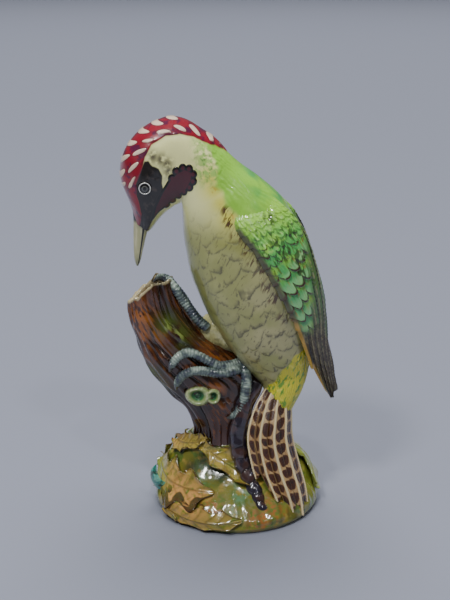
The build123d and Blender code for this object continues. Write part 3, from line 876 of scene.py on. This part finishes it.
# Height, centre x, centre y, half width, half depth
TRUNK = [
    (38, -9.5, 2, 17.0, 15.0),
    (46, -9.5, 1, 16.0, 13.5),
    (55, -10.0, 0, 19.5, 14.0),
    (66, -13.5, 0, 25.5, 15.5),
    (78, -18.5, 0, 31.5, 16.0),
    (90, -29.8, 1, 26.7, 15.5),
    (105, -41.5, 2, 19.0, 14.0),
    (120, -47.5, 3, 15.6, 12.5),
    (137, -48.0, 4, 11.0, 10.0),
]
STUMP_TOP = 66
BROKEN_EDGE = (-63.0, 120.5)  # x, z of the lowest point of the broken end, which rises to the right
BRANCH_TOP = 136.5


def bark_relief(grid, angle):
    """Furrows that run along the wood: ridged noise, narrow round the trunk and long up it,
    over broad swellings. Returns the height and how deep the furrow is."""
    z = grid[..., 2]
    lean = 0.155 * np.maximum(z - STUMP_TOP, 0)
    twisted = np.stack([16 * np.cos(angle) + lean, 16 * np.sin(angle) + 0 * z, z], -1)
    fine = lumps(twisted, (2.6, 2.6, 19), 11)
    coarse = lumps(twisted, (6.5, 6.5, 34), 12)
    swelling = lumps(grid, 15, 13)
    furrow = np.clip(1 - 2.6 * np.abs(coarse), 0, 1)
    ridges = 1 - np.abs(fine) * 2
    return 0.75 * ridges - 1.5 * furrow + 1.4 * swelling, furrow, ridges


def make_wood():
    """The stump is the trunk's rings up to its top. The branch's wall goes on from there, up to
    a slanting rim whose height follows the x of the ring, with a jagged edge; from the rim the
    surface runs in towards a point below its middle, and closes the hollow end."""
    angle = around(290)
    z = np.linspace(TRUNK[0][0], STUMP_TOP, 80)[:, None] + 0 * angle
    grid = oval_point(TRUNK, z, angle)
    height, furrow, ridges = bark_relief(grid, angle)
    make_piece("stump", raised(grid, height), BARK_GLAZE, "bark_glaze", ["stump"],
               furrow=furrow, ridges=ridges, **bark_paint(grid))

    up = np.linspace(0, 1, 220)[:, None]
    rim_x = oval_point(TRUNK, np.full_like(angle, 128.0), angle)[..., 0]
    jagged = 1.6 * lumps(np.stack([9 * np.cos(angle), 9 * np.sin(angle), 0 * angle], -1), 2.2, 9)
    rim = np.minimum(BRANCH_TOP, BROKEN_EDGE[1] + 1.05 * (rim_x - BROKEN_EDGE[0])) + jagged
    wall = oval_point(TRUNK, STUMP_TOP + (rim - STUMP_TOP) * up, angle)
    height, furrow, ridges = bark_relief(wall, angle)
    hollow_share = np.linspace(0.12, 1, 34)[:, None]
    deep = 7.0 * (1 - (1 - hollow_share) ** 3)
    centre = wall[-1].mean(0) - (0, 0, 2.0)
    inner = wall[-1][None] + (centre - wall[-1])[None] * (hollow_share * 0.97)[..., None]
    inner[..., 2] -= deep * ease(hollow_share, 0.1, 0.3)
    grid = np.vstack([wall, inner])
    in_hollow = np.vstack([0 * wall[..., 0], ease(hollow_share, 0.1, 0.4) + 0 * inner[..., 0]])
    height = np.vstack([height, 0.5 * height[-1] * (1 - hollow_share)])
    furrow, ridges = (np.vstack([v, np.repeat(v[-1:], len(inner), 0)]) for v in (furrow, ridges))
    lip_outside = ease(up, 0.972, 0.992) + 0 * wall[..., 0]
    lip_inside = 1 - ease(hollow_share, 0.12, 0.3) + 0 * inner[..., 0]
    lip = np.vstack([lip_outside, lip_inside])
    make_piece("branch", raised(grid, height), BARK_GLAZE, "bark_glaze", ["branch"],
               furrow=furrow, ridges=ridges, lip=lip, hollow=in_hollow, **bark_paint(grid))


LICHEN = [(-52, -8, 80), (-48, -9, 73), (-39, -12, 113), (-32, -12, 108), (-53, 6, 92), (-36, 14, 84)]
AMBER = [(-55, -8, 116), (-52, -10, 106), (-14, -15, 92), (-8, -14, 88), (-10, -14, 72)]


def bark_paint(grid):
    """Where the bark is washed: green lichen and amber; and the dark side by the root, which is painted shade.
    """
    lichen = near(grid, LICHEN, 7.5)
    amber = near(grid, AMBER, 9)
    # Painted shade: the trunk's right side, low down by the root
    dark = ease(grid[..., 0] - 0.12 * (grid[..., 2] - 40), -9, 2) * ease(grid[..., 2], 92, 70)
    return {"lichen": lichen, "amber": amber, "dark": dark}


def bark_glaze():
    glaze = Glaze("bark_glaze", "#43200e", roughness=0.22)
    grain = glaze.mottle(2.2, 4, stretch=(1, 1, 5), turn=(0, -32, 0))
    broad = glaze.mottle(11, 3)
    glaze.lay("#271008", (broad, 0.47, 0.64, 0.8))
    glaze.lay("#6e3c12", ("ridges", 0.35, 0.95), (grain, 0.46, 0.6))
    glaze.lay("#a5601a", "amber", (grain, 0.4, 0.56), 0.9)
    glaze.lay("#150806", "furrow", 0.9)
    glaze.lay("#4c5c1c", "lichen", (broad, 0.34, 0.5))
    glaze.lay("#86984a", ("lichen", 0.55, 0.95), (grain, 0.48, 0.6))
    # painted shade on the trunk's right side by the root
    glaze.lay("#2e2224", "dark", 0.8)
    glaze.lay("#2a1a10", "hollow", 0.8)
    glaze.lay("#c9bd92", "lip", 0.75)
    return glaze.finish((grain, 0.25))


# Share of the radius and height off the bark, from the foot of the ring to the bottom of the hole
KNOT_PROFILE = [
    (1.25, -3.5), (1.15, -0.5), (1.02, 1.6), (0.84, 2.5), (0.66, 2.0), (0.5, 0.6), (0.34, -0.4), (0.2, 0.1),
    (0.02, 0.4),
]


def make_knots():
    """Two bosses on the bark, whose rings nearly touch."""
    grid, share = boss((-23.0, -15.2, 71.0), 6.4, 5.2, (-0.12, -1, 0.22), KNOT_PROFILE, second=0.14)
    make_piece("branch_knot", grid, KNOT_GLAZE, "knot_glaze", ["branch_knot"], share=share)
    grid, share = boss((-14.2, -15.4, 70.8), 3.8, 4.2, (0.1, -1, 0.15), KNOT_PROFILE, second=0.1)
    make_piece("branch_knot_small", grid, KNOT_GLAZE, "knot_glaze", [], share=share)


def knot_glaze():
    glaze = Glaze("knot_glaze", "#8ea266")
    streak = glaze.mottle(2.0, 3)
    glaze.lay("#bcc292", ("share", 0.62, 0.86), (streak, 0.44, 0.6))
    glaze.lay("#2f6a3f", ("share", 0.62, 0.45))
    glaze.lay("#12301c", ("share", 0.4, 0.2), (streak, 0.4, 0.6))
    glaze.lay("#4b2a18", ("share", 1.02, 1.2))
    return glaze.finish((streak, 0.1))


ROOT = [
    (11, -6, 76), (5, -11, 64), (1, -13.5, 52), (0, -15.5, 42), (2.5, -19, 32), (7.5, -26, 21), (12.5, -34, 12),
    (17, -41, 4.5),
]
ROOT_RADII = [4.5, 5.4, 5.6, 5.4, 4.8, 4.2, 3.4, 1.8]


def make_root():
    """A tube down the stump with wrinkles across it, closer together low down."""
    grid = tube(ROOT, ROOT_RADII, 220, 110)
    down = np.linspace(0, 1, 220)[:, None]
    bands = np.abs(np.sin(down**1.3 * 34 + 0.8 * lumps(grid, 6, 3)))
    height = 0.65 * bands * ease(down, 0.35, 0.6) + 0.8 * lumps(grid, (4, 4, 14), 5)
    make_piece("root", raised(grid, height), ROOT_GLAZE, "root_glaze", ["root"], bands=bands)


def root_glaze():
    glaze = Glaze("root_glaze", "#2a2430", roughness=0.2)
    grain = glaze.mottle(2.4, 4, stretch=(1, 1, 4))
    glaze.lay("#474455", (grain, 0.5, 0.66))
    glaze.lay("#4a2f26", (glaze.mottle(9, 2), 0.48, 0.62), 0.7)
    glaze.lay("#120c10", ("bands", 0.3, 0.05, 0.8))
    return glaze.finish((grain, 0.15))


# ---- legs

LEFT_THIGH = [(20, -8, 104), (17, -11, 98), (13.5, -12.3, 92.5), (10.5, -12.0, 88.6)]
RIGHT_THIGH = [(3, 5, 98), (-6, 5.5, 102.5), (-14.0, 6.5, 105), (-20.5, 9, 108)]
# Each leg: points (x, z) on the bark, how far the middle line stands off it, and the radii
LEFT_LEG = {
    "shank": ([(9, 88.5), (5.5, 87.6), (2.5, 87.0)], 1.2, [3.2, 3.1, 3.0]),
    "outer_toe": (
        [
            (4.5, 87.6), (-2.5, 87.6), (-10.3, 88.4), (-18.3, 92.8), (-27.0, 97.2), (-33.6, 95.4),
            (-37.4, 90.5), (-38.8, 86),
        ],
        1.5, [2.9, 2.7, 2.6, 2.6, 2.5, 2.4, 1.9, 0.5],
    ),
    "inner_toe": (
        [
            (4, 85.4), (-4, 84.8), (-11.9, 85.0), (-19, 86.6), (-25.5, 86.8), (-31.5, 84.0), (-34.6, 79),
            (-35.4, 74.6),
        ],
        1.5, [2.9, 2.7, 2.6, 2.7, 2.6, 2.4, 1.8, 0.5],
    ),
    "rear_toe": (
        [(3.2, 87.4), (5.2, 80.5), (4.8, 73.5), (3.8, 66.6), (1.0, 60.6), (-2.8, 57.8), (-6.0, 57.2)],
        1.6, [2.9, 2.9, 3.0, 2.9, 2.5, 1.8, 0.5],
    ),
}
RIGHT_LEG = {
    "shank": ([(-14.5, 105), (-18.5, 107.5), (-22, 109)], 1.2, [3.4, 3.2, 3.0]),
    "outer_toe": (
        [
            (-17.5, 108.0), (-22.5, 112.5), (-27.0, 118.5), (-31.0, 124.8), (-35.2, 131.0), (-40.5, 135.4),
            (-45.0, 135.8), (-48.5, 133),
        ],
        -7.0, [2.9, 2.8, 2.8, 2.8, 2.7, 2.4, 1.8, 0.5],
    ),
    "inner_toe": (
        [(-20, 106), (-27, 109), (-34, 112), (-41, 114.6), (-47, 116), (-51, 114.6)],
        1.4, [2.9, 2.8, 2.7, 2.5, 1.9, 0.5],
    ),
    "rear_toe": (
        [(-18.5, 105.5), (-16.5, 98), (-17.5, 91), (-21, 85), (-25, 81)],
        1.4, [2.9, 2.8, 2.7, 2.0, 0.5],
    ),
}
SCUTE = 1.7  # length of a ring of a toe


def on_bark(x, z, proud, side):
    """Point on the near (side -1) or far (side 1) face of the trunk, moved proud of it."""
    centre_x, centre_y, half_width, half_depth = at_height(TRUNK, z)
    across = math.sqrt(max(1 - ((x - centre_x) / half_width) ** 2, 0.05))
    return (x, centre_y + side * (half_depth * across + proud), z)


def make_legs():
    """Toes are tubes with a ring swelling for each scute, which stops at the smooth claw."""
    for name, path, radii, side in (
        ("left_thigh", LEFT_THIGH, (6, 7.2, 5.8, 3.0), -1),
        ("right_thigh", RIGHT_THIGH, (9.0, 11.0, 10.2, 4.6), 1),
    ):
        grid = tube(path, radii, 100, 110, top=(0, side, 0.2))
        tuft = 0.5 * lumps(grid, (3, 3, 7), 6) + 0.3 * lumps(grid, 1.6, 7)
        make_piece(name, raised(grid, tuft), THIGH_GLAZE, "breast_glaze", [name])
    for side, leg, facing in (("left", LEFT_LEG, -1), ("right", RIGHT_LEG, 1)):
        for part, (places, proud, radii) in leg.items():
            path = [on_bark(x, z, proud, facing) for x, z in places]
            rows = 40 * len(path)
            grid = tube(path, radii, rows, 42, top=(0, facing, 0.1))
            rings = np.linalg.norm(np.diff(path, axis=0), axis=1).sum() / SCUTE
            down = np.linspace(0, 1, rows)[:, None]
            scute = np.sqrt(np.abs(np.sin(np.pi * (down * rings + 0.12 * lumps(grid, 3, 2)))))
            claw = ease(down, 0.86, 0.93) if part != "shank" else 0 * down
            height = 0.5 * (scute - 0.5) * (1 - claw) * ease(down, 0.0, 0.06) + 0.25 * lumps(grid, 6, 4)
            name = f"{side}_{part}"
            make_piece(name, raised(grid, height), FOOT_GLAZE, "foot_glaze", [name], scute=scute, claw=claw)


def thigh_glaze():
    glaze = Glaze("thigh_glaze", "#bebb80")
    strokes = glaze.mottle(1.8, 3, stretch=(1, 1, 3))
    glaze.lay("#cbc892", (glaze.mottle(6, 2), 0.5, 0.7))
    glaze.lay("#7c784c", (strokes, 0.54, 0.68), 0.6)
    return glaze.finish((strokes, 0.12))


def foot_glaze():
    glaze = Glaze("foot_glaze", "#5a6866", roughness=0.22)
    wash = glaze.mottle(5, 3)
    glaze.lay("#98a89c", (wash, 0.48, 0.64))
    glaze.lay("#3a4250", (wash, 0.48, 0.36))
    glaze.lay("#1b2226", ("scute", 0.45, 0.12, 0.8))
    glaze.lay("#2a2726", "claw", 0.8)
    return glaze.finish((glaze.mottle(1.2, 2), 0.06))


# ---- base

# Height, centre x, centre y, half width, half depth
MOUND = [
    (3, 0, 0, 49.3, 49.3),
    (8, 0, 0.5, 48.6, 47.0),
    (14, -0.5, 3.5, 46.2, 40.5),
    (22, -1.5, 7.0, 41.8, 32.0),
    (31, -5.0, 7.0, 32.0, 23.5),
    (38, -8.0, 4.0, 22.0, 17.5),
    (42, -9.0, 2.0, 15.0, 13.5),
]
# Radius and height of the outline under the mound: foot ring, recessed floor and vent
UNDERSIDE = [
    (48.6, 1.2), (48.0, 0.3), (47.2, 0), (41.2, 0), (41, 0.2),
    (41, 2), (22, 2), (2.4, 2), (1.75, 2.3), (1.75, 6.4),
]
GLAZED_RADIUS = 47.5  # the clay inside this is bare
# Places where the mound's paint differs
TEAL = [(2, -36, 14), (-4, -40, 10), (8, -40, 9), (-12, -20, 30), (-24, -24, 24)]
ORANGE = [(12, -44, 7), (-36, -22, 20), (-14, -38, 9), (46, 6, 10), (20, -38, 10)]
MOSS = [(42, 10, 22), (36, 22, 26), (46, -6, 12), (-46, -4, 12)]
# Places of painted shade: near-black spots in the hollows under and between the leaves
SHADED_HOLLOWS = [
    (-21, -17, 30), (-15, -20, 27), (-28, -17, 27), (-9, -23, 25), (-12, -11, 39), (-40, -24, 10),
    (-30, -34, 9),
]


def make_mound():
    """Rows go from the neck of the stump down the mound, round the foot ring, over the recessed
    floor and up into the vent. The ground has swellings, and grooves that run down to its rim."""
    angle = around(380)
    z = np.linspace(MOUND[-1][0], MOUND[0][0], 170)[:, None]
    top = oval_point(MOUND, z + 0 * angle, angle)
    under = [np.stack([r * np.cos(angle), r * np.sin(angle), h + 0 * angle], -1) for r, h in UNDERSIDE]
    swelling = lumps(top, 10, 21) * 1.3 + lumps(top, 4.5, 22) * 0.35
    groove = np.sin(angle * 46 + 2.2 * lumps(top, 9, 23)) * ease(z, 17, 9) * ease(z, 2.9, 5)
    groove = groove * ease(np.sin(angle + 0.6 * lumps(top, 12, 24)), 0.4, -0.4)
    height = (swelling * ease(z, 3, 7) + 0.15 * groove) * ease(z, 41, 38)
    grid = np.vstack([raised(top, height), *under])
    no_paint = np.zeros((len(under), angle.size))
    bare = np.vstack([0 * top[..., 0], *[(r < GLAZED_RADIUS) + 0 * angle for r, _ in UNDERSIDE]])
    deep = np.vstack([np.clip(-swelling / 1.6, 0, 1), no_paint])
    groove = np.vstack([np.clip(groove, 0, 1), no_paint])
    make_piece(
        "base_mound", grid, GROUND_GLAZE, "base_glaze", ["base_mound"], bare=bare, deep=deep, groove=groove,
        teal=near(grid, TEAL, 9), orange=near(grid, ORANGE, 9), moss=near(grid, MOSS, 13),
        # hollow here marks painted shade under and between the leaves
        hollow=near(grid, SHADED_HOLLOWS, 5.5),
    )


def ground_glaze():
    glaze = Glaze("ground_glaze", "#7c7a2c", roughness=0.2)
    wash = glaze.mottle(8, 3)
    fine = glaze.mottle(2.4, 4)
    glaze.lay("#5a7230", (wash, 0.46, 0.6))
    glaze.lay("#a89042", (glaze.mottle(6, 3), 0.53, 0.68))
    glaze.lay("#86983a", "moss", (fine, 0.34, 0.56))
    glaze.lay("#5a8c64", "teal", (fine, 0.42, 0.62))
    glaze.lay("#a5622c", "orange", (fine, 0.4, 0.62))
    glaze.lay("#2c3216", ("deep", 0.25, 0.9), 0.85)
    # painted shade: near-black in the hollows under and between the leaves
    glaze.lay("#101a14", "hollow", (fine, 0.22, 0.42, 0.97))
    glaze.lay("#53481c", "groove", 0.45)
    glaze.lay("#cfc8b4", "bare", 0.9)
    return glaze.finish((fine, 0.1), (wash, 0.3))


# Leaves on the mound. Each runs from a stalk (angle in degrees round the mound, height) past a
# middle point to its tip, with a half width, how far its edges stand up, and how deep its lobes
# are cut, as a share of the half width
LEAVES = {
    "leaf_upper": (((-172, 33), (-142, 35), (-102, 40)), 8.5, 2.6, 0.22),
    "leaf_left": (((-178, 21), (-146, 17), (-106, 17)), 12.0, 2.2, 0.42),
    "leaf_centre": (((-116, 41), (-94, 31), (-76, 18)), 8.0, 3.4, 0.3),
    "leaf_front": (((-156, 6), (-120, 5.5), (-88, 8)), 7.5, 1.0, 0.3),
    "leaf_right": (((-14, 10), (6, 24), (30, 36)), 12.0, 1.6, 0.08),
    "leaf_back": (((108, 7), (88, 16), (66, 27)), 9.0, 1.8, 0.38),
    "leaf_back_left": (((164, 10), (144, 19), (122, 28)), 9.0, 1.8, 0.38),
}
LEAF_LOBES = 3.6
# Places where the leaves' paint differs
WARM_LEAVES = [(-44, -14, 20), (-38, -24, 16), (-26, -34, 13), (-38, 10, 30)]
PALE_LEAVES = [(-12, -22, 34), (-6, -28, 24), (-30, -14, 38), (-20, -16, 40)]
FRESH_LEAVES = [(40, 6, 24), (34, 14, 34), (28, 18, 38), (46, -6, 14), (-48, -2, 12)]
SHADOW_LOBES = 6.0  # of the shadow painted along the lower edge of the left leaf, under its lobes


def make_leaf(name, line, half_width, lift, cut):
    """A lobed leaf laid on the mound. Its half width is a sine along its length, cut back
    between lobes; a point is the mound under it plus a lift that grows towards the edge and
    waves with the lobes. The top face runs out across the leaf, the under face runs back."""
    rows, half = 130, 56
    share = np.linspace(0.01, 0.995, rows)
    turn, z = station(np.array(line, float), share * 2).T
    middle = oval_point(MOUND, z, np.radians(turn))
    way = unit(np.gradient(middle, axis=0))
    out = unit(middle - np.array([0, 2, 6]) - 0.2 * way)
    side = np.cross(way, out)
    lobes = 0.5 + 0.5 * np.cos(2 * np.pi * (share * LEAF_LOBES - 0.35))
    width = half_width * np.sin(np.pi * share**0.85) ** 0.65 * (1 - cut * lobes)
    across = np.concatenate([np.linspace(-1, 1, half), np.linspace(1, -1, half)])[None, :]
    top = np.concatenate([np.ones(half), np.zeros(half)])[None, :]
    flat = middle[:, None] + side[:, None] * (across * width[:, None])[..., None]
    turn_at = np.arctan2((flat[..., 1] - 4) / 0.86, flat[..., 0] + 2)
    seat = oval_point(MOUND, np.clip(flat[..., 2], MOUND[0][0] + 0.5, MOUND[-1][0]), turn_at)
    seat = seat + 0.35 * (flat - seat) * (np.abs(flat - seat) < 6)
    veins = np.abs(across) * 1.0 - share[:, None] * LEAF_LOBES * 2
    vein = np.exp(-(((veins - np.round(veins)) / 0.16) ** 2)) * (np.abs(across) > 0.06)
    rib = np.exp(-((across / 0.07) ** 2))
    wave = np.sin(2 * np.pi * share * LEAF_LOBES + 1.2)[:, None] * across**2
    # Painted shadow: a lobed dark band along the lower edge, used on the left leaf only
    margin = ease(across + 0.17 * np.cos(2 * np.pi * share * SHADOW_LOBES)[:, None], 0.56, 0.66)
    rise = 0.7 + lift * (across**2 * 0.8 + 0.45 * wave)
    veined = 0.45 * np.maximum(rib, 0.6 * vein)
    thickness = 1.5 * (1 - 0.45 * np.abs(across))
    raise_by = np.where(top > 0.5, rise + veined + thickness / 2, rise - thickness / 2)
    normal = unit(seat - np.array([0, 2, 4]))
    grid = seat + normal * raise_by[..., None]
    # The under face is marked so that painted shade darkens it
    make_piece(
        name, grid, LEAF_GLAZE, "leaf_glaze", [name], vein=np.maximum(rib, 0.7 * vein) * top,
        rim=np.abs(across) ** 3 + 0 * share[:, None], under=1 - top + 0 * share[:, None],
        margin=margin * (name == "leaf_left"),
        warm=near(grid, WARM_LEAVES, 11), pale=near(grid, PALE_LEAVES, 10), fresh=near(grid, FRESH_LEAVES, 14),
    )


LEAF_TIP = [
    (-42, -14, 11), (-46.2, -13.4, 13), (-48.8, -12.6, 16.5), (-49.4, -11.6, 20.5), (-48.2, -10.4, 24.5),
]
LEAF_TIP_RADII = [2.0, 4.2, 4.6, 3.4, 0.3]


def make_leaf_tip():
    """A curled leaf end that stands clear of the mound: a flattened tube bent outwards."""
    grid = tube(LEAF_TIP, LEAF_TIP_RADII, 90, 64, flat=0.34, top=(-0.8, -0.5, 0.2))
    make_piece("curled_leaf_tip", grid, TIP_GLAZE, "leaf_tip_glaze", ["curled_leaf_tip"])


def leaf_glaze():
    glaze = Glaze("leaf_glaze", "#988440", roughness=0.22)
    wash = glaze.mottle(7, 3)
    fine = glaze.mottle(2.2, 3)
    glaze.lay("#6d7c26", (wash, 0.48, 0.64))
    glaze.lay("#c0a94a", "pale", (fine, 0.34, 0.54))
    glaze.lay("#dc9e5c", "warm", (fine, 0.32, 0.54))
    # painted shadow along the lobed lower edge of the left leaf
    glaze.lay("#33301a", "margin", 0.9)
    glaze.lay("#4c2f12", ("rim", 0.5, 0.95), (fine, 0.36, 0.52))
    glaze.lay("#8fa042", "fresh", (fine, 0.2, 0.44))
    glaze.lay("#55481a", "vein", 0.6)
    # painted shade: the under face of each leaf is darkened
    glaze.lay("#2a2a14", "under", 0.7)
    return glaze.finish((fine, 0.12))


def tip_glaze():
    glaze = Glaze("leaf_tip_glaze", "#2f8f84", roughness=0.2)
    glaze.lay("#7cc4a8", (glaze.mottle(3.5, 3), 0.5, 0.66))
    glaze.lay("#1d4a3a", (glaze.mottle(5, 2), 0.48, 0.34))
    return glaze.finish((glaze.mottle(1.5, 2), 0.08))


BODY_GLAZE = body_glaze()
BEAK_GLAZE = beak_glaze()
EYE_GLAZE = eye_glaze()
WING_GLAZE = wing_glaze()
TAIL_GLAZE = tail_glaze()
BARK_GLAZE = bark_glaze()
KNOT_GLAZE = knot_glaze()
ROOT_GLAZE = root_glaze()
THIGH_GLAZE = thigh_glaze()
FOOT_GLAZE = foot_glaze()
GROUND_GLAZE = ground_glaze()
LEAF_GLAZE = leaf_glaze()
TIP_GLAZE = tip_glaze()
make_body()
make_beak()
make_eyes()
make_wings()
make_tail()
make_legs()
make_wood()
make_knots()
make_root()
make_mound()
for leaf_name, leaf in LEAVES.items():
    make_leaf(leaf_name, *leaf)
make_leaf_tip()


# ---- surroundings


def make_floor():
    """A wide disc under the foot: radius grows row by row, with the columns going round."""
    radius = np.linspace(0.001, 30, 24)[:, None]
    angle = around(96)
    points = np.stack([radius * np.cos(angle), radius * np.sin(angle), 0 * radius * angle], -1)
    ring = np.arange(points[..., 0].size).reshape(points.shape[:2])
    after = np.roll(ring, -1, 1)
    faces = np.stack([ring[:-1], ring[1:], after[1:], after[:-1]], -1).reshape(-1, 4)
    mesh = bpy.data.meshes.new("floor")
    mesh.from_pydata((points.reshape(-1, 3) + FOOT).tolist(), [], faces.tolist())
    floor = bpy.data.objects.new("floor", mesh)
    bpy.context.scene.collection.objects.link(floor)
    cloth = bpy.data.materials.new("pale_floor")
    cloth.use_nodes = True
    shader = cloth.node_tree.nodes["Principled BSDF"]
    shader.inputs["Base Color"].default_value = linear("#7d818f")
    shader.inputs["Roughness"].default_value = 0.75
    mesh.materials.append(cloth)


def lamp(name, place, size, power, mirrored=True):
    """A square soft light that faces the middle of the figurine; the glaze can mirror it."""
    light = bpy.data.lights.new(name, "AREA")
    light.size = size
    light.energy = power
    lamp_object = bpy.data.objects.new(name, light)
    lamp_object.location = place
    lamp_object.visible_glossy = mirrored
    lamp_object.rotation_euler = (AIM - Vector(place)).to_track_quat("-Z", "Y").to_euler()
    bpy.context.scene.collection.objects.link(lamp_object)


AIM = Vector(row_metres((-7.2, 0, 124.2)))
make_floor()
lamp("window_left", (-0.7, -0.9, 1.6), 0.26, 17)
lamp("window_right", (0.6, -1.1, 1.7), 0.14, 6)
lamp("high_front", (-0.1, -0.6, 1.9), 0.10, 5.5)
lamp("overhead", (0.0, 3.0, 7.0), 7.0, 850, mirrored=False)
lamp("overhead_sheen", (0.0, 3.0, 7.0), 7.0, 300)
world = bpy.data.worlds.new("studio")
world.use_nodes = True
world.node_tree.nodes["Background"].inputs["Color"].default_value = linear("#c9c9cc")
world.node_tree.nodes["Background"].inputs["Strength"].default_value = 0.16
bpy.context.scene.world = world

CAMERA_RISES = math.radians(18.5)  # above the level line to the middle of the figurine
CAMERA_AWAY = 601.3 * UNIT
HALF_FIELD = math.radians(16)
camera = bpy.data.objects.new("camera", bpy.data.cameras.new("camera"))
camera.data.sensor_width = 36
camera.data.lens = camera.data.sensor_width / 2 / math.tan(HALF_FIELD)
camera.data.clip_end = 100
away = Vector((0, -math.cos(CAMERA_RISES), math.sin(CAMERA_RISES)))
camera.location = AIM + CAMERA_AWAY * away
camera.rotation_euler = (AIM - camera.location).to_track_quat("-Z", "Y").to_euler()
bpy.context.scene.collection.objects.link(camera)
bpy.context.scene.camera = camera
